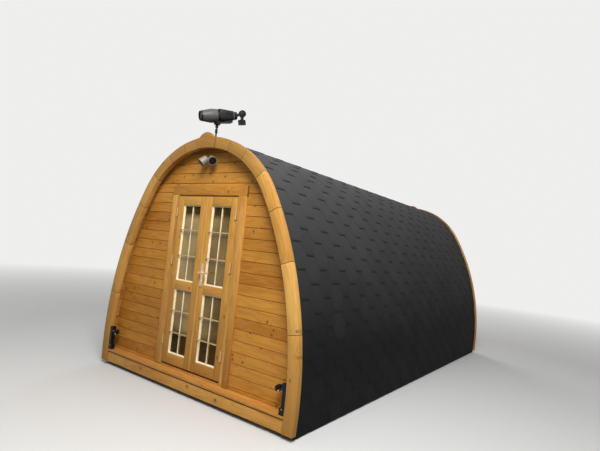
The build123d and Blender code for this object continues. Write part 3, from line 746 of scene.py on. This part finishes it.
# Shingles: courses of six-sided tabs, bent over the arch
COURSE = 0.1386
FIRST_COURSE = 1.555 - 11 * COURSE
SHINGLE_THICKNESS = 0.0035
TOO_SHORT = 0.0005           # edges shorter than this are merged
ROOF_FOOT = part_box("roofing_left")[0][2]
ROOF_RUN = arc_length(level_angle(ROOF_FOOT, ROOF_INSET), ROOF_INSET)
TAB_ROWS = 3                 # rows of faces in a course
TAB_CURL = 0.0006            # how far a tab's lower edge may stand up
SHINGLE_SIZES = {
    "Courses": ceil((ROOF_RUN - FIRST_COURSE) / COURSE) + 2, "Course": COURSE, "First course": FIRST_COURSE,
    "Tab pitch": 0.372, "Tab phase": 0.20, "Lap": 0.045, "Lift": 0.0019, "Run": ROOF_RUN,
    "Start": SHELL_START, "End": SHELL_END,
}


def shingle_tree(side):
    """Geometry Nodes tree: a grid for each course, its lower edge cut in tabs and bent over the arch."""
    web = Growth("shingle_courses", SHINGLE_SIZES)
    size = web.given
    step = size["Tab pitch"] / 6.0
    columns = ((size["End"] - size["Start"]) / step).ceiling() + 2.0
    grid = web.node("GeometryNodeMeshGrid", None, 1.0, 1.0, columns, TAB_ROWS + 1)
    grid_x, grid_y, grid_z = web.split(web.node("GeometryNodeInputPosition"))
    strip = web.store(grid, "column", (grid_x + 0.5) * (columns - 1.0))
    strip = web.store(strip, "share", grid_y + 0.5)
    line = web.node("GeometryNodeMeshLine", None, size["Courses"])
    line = web.store(line, "course", web.node("GeometryNodeInputIndex"))
    cast = web.node("GeometryNodeInstanceOnPoints", None, line, None, strip)
    strips = web.node("GeometryNodeRealizeInstances", None, cast)

    # Along the roof: every other course is shifted by half a tab
    column, share, course = web.read("column"), web.read("share"), web.read("course")
    phase = size["Tab phase"] + course.remainder(2.0) * size["Tab pitch"] * 0.5
    first = (size["Start"] - phase) / step
    y = ((first.floor() + column) * step + phase).most(size["Start"]).least(size["End"])
    turn = (y - phase) / size["Tab pitch"]
    nearest = (turn + 0.5).floor()

    # Down the roof: each tab's lower edge is level in its middle and slopes up to its neighbours
    slope = ((turn - nearest).unsigned() * 6.0 - 1.0).most(0.0).least(1.0)
    lowest = size["First course"] + course * size["Course"]
    edge = lowest - slope * size["Course"]
    top = lowest - size["Course"] * 2.0 - size["Lap"]
    down = top + (edge - top) * share
    above_edge = (lowest - down) / size["Course"]
    down = down.most(0.0).least(size["Run"])
    chance = web.node("FunctionNodeRandomValue", {"data_type": "FLOAT"}, output=1, min=0.0, max=1.0,
                      id=nearest + course * 37.0)
    lift = (2.4 - above_edge).most(0.0) * size["Lift"] + chance * TAB_CURL * (1.0 - above_edge).most(0.0)

    # Bent over the two arcs
    crown_run = radians(JOIN_ANGLE) * (CROWN_RADIUS - ROOF_INSET)
    on_side = down > crown_run
    on_crown = 1.0 - on_side
    angle = (down / (CROWN_RADIUS - ROOF_INSET)) * on_crown \
        + ((down - crown_run) / (SIDE_RADIUS - ROOF_INSET) + radians(JOIN_ANGLE)) * on_side
    radius = on_crown * (CROWN_RADIUS - SHELL_OUTER) + on_side * (SIDE_RADIUS - SHELL_OUTER) \
        + lift + SHINGLE_THICKNESS * 0.25
    x = (radius * angle.sine() + on_side * SIDE_CENTRE) * float(side)
    z = radius * angle.cosine() + on_crown * CROWN_CENTRE + on_side * WIDEST_HEIGHT
    place = web.node("ShaderNodeCombineXYZ", None, x, y, z)
    bent = web.node("GeometryNodeSetPosition", None, strips, None, place)
    bent = web.store(bent, "tone", chance)
    # marks each tab's lower edge for the painted shadow
    bent = web.store(bent, "rim", share * (1.0 - slope))
    return web.finish(bent, SHINGLE)


for side, side_name in SIDES:
    roof = grown(f"shingles_{side_name}", shingle_tree(side), SHINGLE_SIZES)
    shape = bmesh.new()
    shape.from_mesh(roof.data)
    bmesh.ops.dissolve_degenerate(shape, dist=TOO_SHORT, edges=list(shape.edges))
    upward = sum(f.normal.dot(Vector((side, 0, 0.6))) for f in shape.faces)
    if upward < 0:
        bmesh.ops.reverse_faces(shape, faces=list(shape.faces))
    shape.to_mesh(roof.data)
    shape.free()
    thick = roof.modifiers.new("thick", "SOLIDIFY")
    thick.thickness = SHINGLE_THICKNESS
    thick.offset = -1.0
    thick.use_even_offset = False
    settle(roof)
    coat(roof.data, SHINGLE)
    put(roof, "pod", "roofing", f"roofing_{side_name}")


# Ridge caps bent over the crown, each lapping the one before it
CAP_PITCH = 0.16
CAP_LAP = 0.03
CAP_DROP = 0.0022
CAP_THICKNESS = 0.003


def ridge_caps():
    low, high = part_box("ridge_cap")
    caps = Joinery()
    half_turn = asin(high[0] / (CROWN_RADIUS - ROOF_INSET))
    sweep = [half_turn * t / 8 for t in range(-8, 9)]
    outer = high[2] - CROWN_CENTRE
    for index in range(ceil((high[1] - low[1]) / CAP_PITCH)):
        start = low[1] + index * CAP_PITCH
        end = min(start + CAP_PITCH + CAP_LAP, high[1])
        rings = []
        for y, radius in ((start, outer), (end, outer - CAP_DROP)):
            turns = [(turn, radius) for turn in sweep]
            turns += [(turn, radius - CAP_THICKNESS) for turn in reversed(sweep)]
            rings.append([Vector((r * sin(turn), y, CROWN_CENTRE + r * cos(turn))) for turn, r in turns])
        caps.rings(rings, AXES["y"])
    return caps.make("ridge_caps", SHINGLE)


put(ridge_caps(), "pod", "roofing", "ridge_cap")


# Floor, decks and fascias
FLOOR_PLANKS = 20
PLANK_GAP_HALF = 0.0008
NOSING_DEPTH = 0.008         # front edge of the deck
NOSING_DROP = 0.002
# share by which the deck's front edge is painted darker: painted shade
NOSING_SHADE = 0.14
FASCIA_GAP = 0.015           # height of a strip at the top of the fascia, set back and painted dark as the shadow under the deck
GAP_DEPTH = 0.004
GAP_SHADOW = 1.0


def floor_planks():
    low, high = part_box("floor_boards")
    floor = Joinery()
    width = (high[0] - low[0]) / FLOOR_PLANKS
    for index in range(FLOOR_PLANKS):
        left = low[0] + index * width
        floor.plank((left + PLANK_GAP_HALF, low[1], low[2]), (left + width - PLANK_GAP_HALF, high[1], high[2]),
                    "y", 0.002)
    return floor.make("floor_planks", DECK_WOOD)


put(floor_planks(), "pod", "floor_timber", "floor_boards")

for (end_name, outward), deck_node in zip(ENDS, ("porch_deck", "back_deck")):
    low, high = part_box(deck_node)
    inner_y, edge_y = (outward * y for y in sorted((abs(low[1]), abs(high[1]))))
    nosing_y = edge_y - outward * NOSING_DEPTH
    arch_back_y = outward * abs(ARCH_BACK)
    between_legs = half_width_at(low[2], TRIM_WIDTH) - CLEARANCE
    deck = Joinery()
    deck.plank((-between_legs, nosing_y, low[2]), (between_legs, arch_back_y, high[2]), "x", 0.004)
    deck.plank((-high[0], arch_back_y, low[2]), (high[0], inner_y, high[2]), "x", 0.004)
    # front edge of the deck, painted darker as painted shade under the nosing
    deck.plank((-between_legs, edge_y, low[2]), (between_legs, nosing_y, high[2] - NOSING_DROP), "x", 0.002,
               NOSING_SHADE)
    put(deck.make(f"{deck_node}_boards", DECK_WOOD), "pod", "floor_timber", deck_node)

    node = f"{end_name}_fascia"
    low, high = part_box(node)
    shadow_strip_z = high[2] - FASCIA_GAP
    front_sunk, back_sunk = (0, GAP_DEPTH) if outward > 0 else (GAP_DEPTH, 0)
    fascia = Joinery()
    fascia.plank(low, (high[0], high[1], shadow_strip_z), "x", 0.003)
    # the strip under the deck, set back a little and painted almost black: a painted shadow
    fascia.plank((low[0], low[1] + front_sunk, shadow_strip_z), (high[0], high[1] - back_sunk, high[2]), "x", 0.001,
                 GAP_SHADOW)
    put(fascia.make(f"{node}_board", FASCIA_WOOD), "pod", "trim_timber", node)


# Casings round the doorway
CASING_WIDTH = 0.078
DARK_END = 0.006             # dark strip at the right end of the head casing
HEAD_STAIN = 0.12
DARK_END_SHARE = 0.85

casings = Joinery()
low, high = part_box("side_casings")
for side in (-1, 1):
    casings.plank((side * high[0], low[1], low[2]), (side * (high[0] - CASING_WIDTH), high[1], high[2]), "z", 0.004)
put(casings.make("side_casing_boards", TRIM_WOOD), "pod", "trim_timber", "side_casings")
head = Joinery()
low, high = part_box("casing_head")
for first, last, darkness in ((low[0], high[0] - DARK_END, HEAD_STAIN), (high[0] - DARK_END, high[0], DARK_END_SHARE)):
    head.plank((first, low[1], low[2]), (last, high[1], high[2]), "x", 0.004, darkness)
put(head.make("head_casing_board", BOARD_WOOD), "pod", "trim_timber", "casing_head")


# Door leaves: stiles, rails, beads and bars
STILE = 0.084
TOP_RAIL = 0.098
MIDDLE_RAIL = 0.095
BOTTOM_RAIL = 0.109
UPPER_LIGHT = 0.856
BEAD_WIDTH = 0.014
BEAD_FRONT_WIDTH = 0.004
BEAD_SETBACK = 0.010
BAR_WIDTH = 0.012
BAR_DEPTH = 0.010
BAR_PROUD = 0.010
BAR_OVERLAP = 0.004
BAR_HEIGHT = 0.012
COVER_PROUD = 0.006
COVER_WIDTH = 0.024          # of the strip over the meeting line, a quarter of it beyond its leaf
COVER_SHORT = 0.004
RIM = ((-1, -1), (1, -1), (1, 1), (-1, 1))

for side_name in ("left", "right"):
    low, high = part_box(f"{side_name}_leaf")
    face, rear = low[1], high[1]
    glass_face, glass_rear = (corner[1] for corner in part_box(f"{side_name}_glass"))
    light_left, light_right = low[0] + STILE, high[0] - STILE
    upper = (high[2] - TOP_RAIL - UPPER_LIGHT, high[2] - TOP_RAIL)
    lower = (low[2] + BOTTOM_RAIL, upper[0] - MIDDLE_RAIL)
    body = f"{side_name}_door"
    leaf = Joinery()
    for left, right in ((low[0], light_left), (light_right, high[0])):
        leaf.plank((left, face, low[2]), (right, rear, high[2]), "z", 0.002)
    for bottom, top in ((low[2], lower[0]), (lower[1], upper[0]), (upper[1], high[2])):
        leaf.plank((light_left, face, bottom), (light_right, rear, top), "x", 0.0012)
    put(leaf.make(f"{side_name}_leaf_joinery", DOOR_WOOD), body, "door_timber", f"{side_name}_leaf")

    # Beads round each light, and an upright bar on each side of the glass
    beads = Joinery()
    middle_x, half_x = (light_left + light_right) / 2, (light_right - light_left) / 2
    for bottom, top in (lower, upper):
        middle_z, half_z = (bottom + top) / 2, (top - bottom) / 2
        for front, back in ((face + BEAD_SETBACK, glass_face), (rear - BEAD_SETBACK, glass_rear)):
            section = ((0.0, back), (0.0, front), (BEAD_FRONT_WIDTH, front), (BEAD_WIDTH, back))
            beads.rings([[Vector((middle_x + sx * (half_x - shrink), y, middle_z + sz * (half_z - shrink)))
                          for sx, sz in RIM] for shrink, y in section], AXES["x"], closed=True)
        for front, back in ((glass_face - BAR_DEPTH, glass_face), (glass_rear, glass_rear + BAR_DEPTH)):
            beads.plank((middle_x - BAR_WIDTH / 2, front, bottom), (middle_x + BAR_WIDTH / 2, back, top), "z", 0.003)
    put(beads.make(f"{side_name}_leaf_beads", CREAM_PAINT), body, "door_timber")

    # Level bars on the faces of the leaf
    bars = Joinery()
    for bottom, top in (lower, upper):
        for share in (1 / 3, 2 / 3):
            z = bottom + (top - bottom) * share
            for front, back in ((face - BAR_PROUD, face), (rear, rear + BAR_PROUD)):
                bars.plank((light_left - BAR_OVERLAP, front, z - BAR_HEIGHT / 2),
                           (light_right + BAR_OVERLAP, back, z + BAR_HEIGHT / 2), "x", 0.003)
    put(bars.make(f"{side_name}_leaf_bars", BAR_WOOD), body, "door_timber")
    if side_name == "right":
        cover = Joinery()
        cover_left = low[0] - COVER_WIDTH / 4
        cover.plank((cover_left, face - COVER_PROUD, low[2] + COVER_SHORT),
                    (cover_left + COVER_WIDTH, face, high[2] - COVER_SHORT), "z", 0.0025)
        put(cover.make("meeting_cover_strip", COVER_WOOD), body, "door_timber")


# Finishes on the pieces that stay as they are
for material, *nodes in (
    (PANE, "left_glass", "right_glass"),
    (HINGE_METAL, "jamb_hinges", "leaf_hinges_left", "leaf_hinges_right"),
    (HANDLE_METAL, "handle_plates", "lever"),
    (JAMB_WOOD, "door_jambs"),
    (HEAD_WOOD, "door_head", "door_threshold"),
    (FRAME_WOOD, "floor_joists"),
    (SKID_WOOD, "skids"),
    (BLACK_PLASTIC, "porch_lamp_left", "porch_lamp_right", "roof_spot_stem", "roof_spot"),
):
    for node in nodes:
        coat(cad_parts[node].data, material)


# Fittings: turned shapes on the lamps and the spotlight
def turned(middle, aim, profile, sides=28, squareness=2.0):
    """Rings round an axis. The profile holds (distance along it, radius); above 2, the section is squared."""
    aim = Vector(aim).normalized()
    across = aim.cross(Vector((0, 0, 1))).normalized()
    up = across.cross(aim)
    rings = []
    for distance, radius in profile:
        ring = []
        for step in range(sides):
            turn = tau * (step + 0.5) / sides
            reach = radius / (abs(cos(turn)) ** squareness + abs(sin(turn)) ** squareness) ** (1 / squareness)
            ring.append(Vector(middle) + aim * distance + (across * cos(turn) + up * sin(turn)) * reach)
        rings.append(ring)
    return rings


def lens(radius, front, bulge):
    """Profile of a domed lens whose rim stands at this distance."""
    return ((front - 0.004, radius), (front, radius), (front + bulge * 0.6, radius * 0.75),
            (front + bulge, radius * 0.35))


def fitting(name, material, slot, *shapes, replaced=()):
    """One piece of the pod from several sets of rings."""
    shell = Joinery()
    for rings in shapes:
        shell.rings(rings, AXES["x"])
    put(shell.make(name, material), "pod", slot, *replaced)


# Twin lamp under the crown: a rose, two necks, two round heads with dark lenses
LAMP_LOW, LAMP_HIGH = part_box("crown_lamp")
ROSE_CENTRE = Vector(((LAMP_LOW[0] + LAMP_HIGH[0]) / 2, WALL_FACE, CROWN_HEIGHT - 0.250))
ROSE = ((0.0, 0.040), (0.020, 0.040), (0.0255, 0.034), (0.026, 0.020))
NECK_START = Vector((0, -0.013, 0))
NECK_RADIUS = 0.012
NECK_SHORT = 0.02            # how far before the head's middle a neck ends
HEAD_SPREAD = 0.062
HEAD_REACH = 0.081
HEAD_AIMS = {-1: (28, 42), 1: (58, 20)}      # degrees outward and down
HEAD_LENS = (0.0422, 0.0440, 0.0030)         # radius, place along the axis and bulge, as for each lens
HEAD_SHELL = ((-0.048, 0.012), (-0.046, 0.026), (-0.038, 0.038), (-0.022, 0.0440), (0.034, 0.0458),
              (0.046, 0.0458), (0.0478, 0.0450), (0.0474, 0.0424), (0.038, 0.0416))


def crown_lamp():
    shells, lenses = [turned(ROSE_CENTRE, (0, -1, 0), ROSE)], []
    for side in (-1, 1):
        head = ROSE_CENTRE + Vector((side * HEAD_SPREAD, -HEAD_REACH, 0))
        turn, droop = (radians(angle) for angle in HEAD_AIMS[side])
        aim = (side * sin(turn) * cos(droop), -cos(turn) * cos(droop), -sin(droop))
        neck = head - (ROSE_CENTRE + NECK_START)
        neck_end = neck.length - NECK_SHORT
        shells.append(turned(head - neck, neck, ((0.0, NECK_RADIUS), (neck_end, NECK_RADIUS)), 12))
        shells.append(turned(head, aim, HEAD_SHELL))
        lenses.append(turned(head, aim, lens(*HEAD_LENS)))
    fitting("crown_lamp_shells", SHADED_OFF_WHITE, "lamp_shell", *shells, replaced=("crown_lamp",))
    fitting("crown_lamp_lenses", DARK_LENS, "black_fitting", *lenses)


# Porch lamps: a lens in each head, a pale dome at its rim as a painted glint, a knob on the foot and a pin on the
# arm
PORCH_HEAD = (0.099, 0.218)  # in from the leg and up from the floor
PORCH_HEAD_FORWARD = 0.022
PORCH_LENS = (0.024, 0.0005, 0.002)
GLINT_SHIFT = Vector((0.013, 0, -0.019))
GLINT_DOME = (0.0055, 0.0022, 0.0005)
KNOB_PLACE = (0.030, 0.052)
PIN_IN = 0.056
PIN_BACK = 0.014
PIN_RISE = 0.004
KNOB = ((-0.002, 0.009), (0.0, 0.009), (0.0035, 0.008), (0.004, 0.006))
PIN = ((0.0, 0.006), (0.006, 0.006), (0.008, 0.0045))


def porch_lamps():
    lenses, glint_domes, knobs = [], [], []
    forward = (0, -1, 0)
    for side, side_name in SIDES:
        low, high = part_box(f"porch_lamp_{side_name}")
        leg_inner = max(abs(low[0]), abs(high[0]))
        head = Vector((side * (leg_inner - PORCH_HEAD[0]), (low[1] + high[1]) / 2 - PORCH_HEAD_FORWARD,
                       FLOOR_TOP + PORCH_HEAD[1]))
        knob = (side * (leg_inner - KNOB_PLACE[0]), low[1], FLOOR_TOP + KNOB_PLACE[1])
        pin = (side * (leg_inner - PIN_IN), low[1] + PIN_BACK, head.z + PIN_RISE)
        lenses.append(turned(head, forward, lens(*PORCH_LENS)))
        # pale dome at the lens rim: a painted glint
        glint_domes.append(turned(head + GLINT_SHIFT, forward, lens(*GLINT_DOME), 14))
        knobs += [turned(knob, forward, KNOB, 18), turned(pin, forward, PIN, 16)]
    fitting("porch_lamp_lenses", DARK_LENS, "black_fitting", *lenses)
    fitting("porch_lamp_glints", GLINT_PAINT, "lamp_shell", *glint_domes)
    fitting("porch_lamp_knobs", SCREW_METAL, "handle_metal", *knobs)


# Spotlight: each shape as (distance along the axis, radius)
SPOT_AXIS_RISE = 0.134
SPOT_TURN = 24
SPOT_DROOP = 13
SPOT_HUB = (-0.292, 0.024)   # along the axis and up from it
SPOT_RAIL_RISE = 0.040
SPOT_SLEEVE = ((0.022, 0.060), (0.022, 0.0741), (0.027, 0.0746), (0.080, 0.0756), (0.088, 0.0752),
               (0.180, 0.0588), (0.186, 0.0574), (0.188, 0.0500))
SPOT_HOUSING = ((-0.160, 0.044), (-0.1585, 0.0505), (-0.008, 0.0715), (-0.004, 0.0700))
SPOT_COLLAR = ((-0.215, 0.030), (-0.2135, 0.0415), (-0.181, 0.0465), (-0.178, 0.0440))
SPOT_HUB_DRUM = ((-0.0215, 0.016), (-0.0205, 0.022), (-0.0175, 0.025), (0.0175, 0.025), (0.0205, 0.022),
                 (0.0215, 0.016))
SPOT_RAIL = ((-0.150, 0.0065), (-0.147, 0.0085), (-0.014, 0.0085), (-0.011, 0.0065))
SPOT_RING = ((-0.1765, 0.044), (-0.1755, 0.0505), (-0.1635, 0.0525), (-0.1620, 0.0450))
SPOT_BOLT = ((0.019, 0.008), (0.0245, 0.008), (0.0255, 0.0065))
SPOT_LENS = (0.0436, 0.1950, 0.006)


def spotlight():
    turn, droop = radians(SPOT_TURN), radians(SPOT_DROOP)
    aim = Vector((-sin(turn) * cos(droop), -cos(turn) * cos(droop), -sin(droop)))
    across = Vector((-cos(turn), sin(turn), 0))
    up = across.cross(aim)
    up = up if up.z > 0 else -up
    stem_low, stem_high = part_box("roof_spot_stem")
    middle = Vector((0, (stem_low[1] + stem_high[1]) / 2, stem_high[2] + SPOT_AXIS_RISE))
    hub = middle + aim * SPOT_HUB[0] + up * SPOT_HUB[1]
    fitting("spot_sleeve", GREY_SLEEVE, "black_fitting", turned(middle, aim, SPOT_SLEEVE, 40))
    fitting("spot_housing", BLACK_PLASTIC, "black_fitting",
            turned(middle, aim, SPOT_HOUSING, 32, 5.0),
            turned(middle, aim, SPOT_COLLAR, 32, 2.6),
            turned(hub, across, SPOT_HUB_DRUM, 24),
            turned(middle + up * SPOT_RAIL_RISE, aim, SPOT_RAIL, 8))
    fitting("spot_ring", GREY_SLEEVE, "black_fitting", turned(middle, aim, SPOT_RING, 32, 3.0))
    fitting("spot_lens", DARK_LENS, "black_fitting", turned(middle, aim, lens(*SPOT_LENS), 32))
    fitting("spot_hub_bolts", BLACK_PLASTIC, "black_fitting",
            *[turned(hub, across * facing, SPOT_BOLT, 6) for facing in (-1, 1)])


crown_lamp()
porch_lamps()
spotlight()


# Screw heads, grown on points that each know which way they face
SCREW_SIZES = {"Radius": 0.0045, "Height": 0.0018, "Drive share": 0.5, "Drive depth": 0.0011, "Sides": 12}
TRIM_SCREW_BESIDE = 0.040    # from a joint
TRIM_SCREW_INSETS = (0.030, 0.090)
FASCIA_SCREW_STEP = 0.31
FASCIA_SCREW_EDGE = 0.030
CASING_SCREWS = 7
CASING_SCREW_END = 0.10      # from an end to the first screw
HEAD_SCREW_STEP = 0.17
HANDLE_SCREW_END = 0.018
CYLINDER_PROUD = 0.005       # how far the lock cylinder stands beyond the plate


def screw_tree():
    """Geometry Nodes tree: a chamfered head with a sunk drive on each point."""
    web = Growth("screw_heads", SCREW_SIZES, on_points=True)
    size = web.given
    head = web.node("GeometryNodeMeshCylinder", {"fill_type": "NGON"}, size["Sides"], 1, 1, size["Radius"],
                    size["Height"])
    top = head.other("Top")
    for share, distance in ((0.80, 0.0), (size["Drive share"], size["Drive depth"] * -1.0)):
        head = web.node("GeometryNodeScaleElements", {"domain": "FACE"}, geometry=head, selection=top, scale=share)
        head = web.node("GeometryNodeExtrudeMesh", {"mode": "FACES"}, mesh=head, selection=top,
                        offset_scale=distance)
        top = head.other("Top")
    turn = web.node("FunctionNodeAlignRotationToVector", {"axis": "Z"}, vector=web.read("facing", "FLOAT_VECTOR"))
    cast = web.node("GeometryNodeInstanceOnPoints", points=size["Points"], instance=head, rotation=turn)
    return web.finish(cast, SCREW_METAL)


def screws(name, body, slot, places, **sizes):
    """One mesh of screw heads; places holds (point, outward direction)."""
    mesh = bpy.data.meshes.new(name)
    mesh.from_pydata([point for point, facing in places], [], [])
    mesh.attributes.new("facing", "FLOAT_VECTOR", "POINT").data.foreach_set(
        "vector", [c for point, facing in places for c in facing])
    piece = grown(name, screw_tree(), {**SCREW_SIZES, **sizes}, mesh)
    face_outward(piece.data)
    put(piece, body, slot)


def outside_screws():
    """Screws in the arch trim, the casings and the fascias."""
    places = []
    for outward in (-1, 1):
        for side in (-1, 1):
            for joint in TRIM_JOINT_ANGLES:
                for beside in (-1, 1):
                    for inset in TRIM_SCREW_INSETS:
                        x, z = arch_point(joint + beside * joint_turn(TRIM_SCREW_BESIDE, joint), inset, side)
                        places.append(((x, outward * abs(ARCH_FRONT), z), (0, outward, 0)))
        low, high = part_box("front_fascia")
        for step in range(-4, 5):
            for z in (low[2] + FASCIA_SCREW_EDGE, high[2] - FASCIA_SCREW_EDGE):
                places.append(((step * FASCIA_SCREW_STEP, outward * abs(low[1]), z), (0, outward, 0)))
    low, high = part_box("side_casings")
    for side in (-1, 1):
        for step in range(CASING_SCREWS):
            rise = CASING_SCREW_END + step * (high[2] - low[2] - 2 * CASING_SCREW_END) / (CASING_SCREWS - 1)
            places.append(((side * (high[0] - CASING_WIDTH / 2), low[1], low[2] + rise), (0, -1, 0)))
    low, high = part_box("casing_head")
    for step in range(-3, 4):
        places.append(((step * HEAD_SCREW_STEP, low[1], (low[2] + high[2]) / 2), (0, -1, 0)))
    screws("outside_screws", "pod", "hinge_metal", places)


def plate_screws():
    """Screws at both ends of the handle plates."""
    low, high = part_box("handle_plates")
    faces = ((low[1] + CYLINDER_PROUD, -1), (high[1] - CYLINDER_PROUD, 1))
    places = [(((low[0] + high[0]) / 2, y, z), (0, outward, 0)) for y, outward in faces
              for z in (low[2] + HANDLE_SCREW_END, high[2] - HANDLE_SCREW_END)]
    screws("handle_screws", "right_door", "handle_metal", places, Radius=0.0040)


outside_screws()
plate_screws()


# Floor, light and camera
BACKDROP = (0.86, 0.86, 0.85)
FLOOR_REACH = 60.0
FLOOR_FADE = (5.0, 15.0)     # distances over which the floor turns into the backdrop
SOFT_LIGHT = 0.26


def seen_straight(web):
    """1 where the eye, a reflection or a pane sees this, and 0 where it only lights something."""
    rays = web.node("ShaderNodeLightPath")
    camera, glossy, through = (rays.other(f"Is {kind} Ray") for kind in ("Camera", "Glossy", "Transmission"))
    return camera.most(glossy).most(through)


def plain_stage():
    floor = bpy.data.meshes.new("studio_floor")
    floor.from_pydata([(x * FLOOR_REACH, y * FLOOR_REACH, 0) for x, y in RIM], [], [(0, 1, 2, 3)])
    paint = Finish("studio_floor", Roughness=0.8)
    seen = seen_straight(paint)
    paint.set("Base Color", paint.blend(seen, (0.30, 0.30, 0.29), (0.64, 0.64, 0.63)))
    x, y, z = paint.split(paint.object_point())
    far = paint.between((x * x + y * y).power(0.5), *FLOOR_FADE) * seen
    paint.show(paint.mix_shaders(far, paint.shader, paint.node("ShaderNodeEmission", None, BACKDROP)))
    coat(floor, paint.material)
    piece = add_object("studio_floor", floor)


def studio_world():
    world = bpy.data.worlds.new("studio")
    bpy.context.scene.world = world
    world.use_nodes = True
    world.node_tree.nodes.clear()
    web = Web(world.node_tree)
    soft = web.node("ShaderNodeBackground", None, (1.0, 0.99, 0.97), SOFT_LIGHT)
    shown = web.node("ShaderNodeBackground", None, BACKDROP, 1.0)
    web.node("ShaderNodeOutputWorld", None, web.mix_shaders(seen_straight(web), soft, shown))


def area_light(name, place, aim, size, watts):
    lamp = bpy.data.lights.new(name, "AREA")
    lamp.shape = "RECTANGLE"
    lamp.size, lamp.size_y = size
    lamp.energy = watts
    piece = add_object(name, lamp)
    piece.location = place
    piece.rotation_euler = (Vector(aim) - Vector(place)).to_track_quat("-Z", "Y").to_euler()


plain_stage()
studio_world()
area_light("key_panel", (3.5, -6.0, 5.8), (0.0, -2.8, 1.2), (2.8, 2.8), 530.0)
area_light("sky_panel", (2.6, -2.0, 7.2), (0.6, -1.0, 1.0), (4.5, 8.0), 105.0)
area_light("back_panel", (-5.5, 8.0, 5.0), (0.0, 1.0, 1.0), (4.0, 4.0), 260.0)

bpy.context.scene.view_settings.view_transform = "Standard"

# Camera at the photograph's place, solved from the arch, the board joints, the deck and the door
CAMERA_PLACE = (3.6583, -6.1007, 1.6594)
CAMERA_YAW = 0.63071
CAMERA_PITCH = 0.05135
CAMERA_ROLL = -0.10007
FOCAL_PIXELS = 440.01
IMAGE_WIDTH = 600
SENSOR_WIDTH = 36.0


def photo_camera():
    level = Vector((cos(CAMERA_YAW), sin(CAMERA_YAW), 0.0))
    forward = Vector((-sin(CAMERA_YAW) * cos(CAMERA_PITCH), cos(CAMERA_YAW) * cos(CAMERA_PITCH),
                      sin(CAMERA_PITCH)))
    down = forward.cross(level)
    right = level * cos(CAMERA_ROLL) + down * sin(CAMERA_ROLL)
    below = down * cos(CAMERA_ROLL) - level * sin(CAMERA_ROLL)
    camera = bpy.data.cameras.new("photo_camera")
    camera.sensor_width = SENSOR_WIDTH
    camera.lens = FOCAL_PIXELS / IMAGE_WIDTH * SENSOR_WIDTH
    camera.clip_end = 200.0
    piece = add_object("photo_camera", camera)
    piece.matrix_world = Matrix.Translation(CAMERA_PLACE) @ Matrix((right, -below, -forward)).transposed().to_4x4()
    bpy.context.scene.camera = piece


photo_camera()
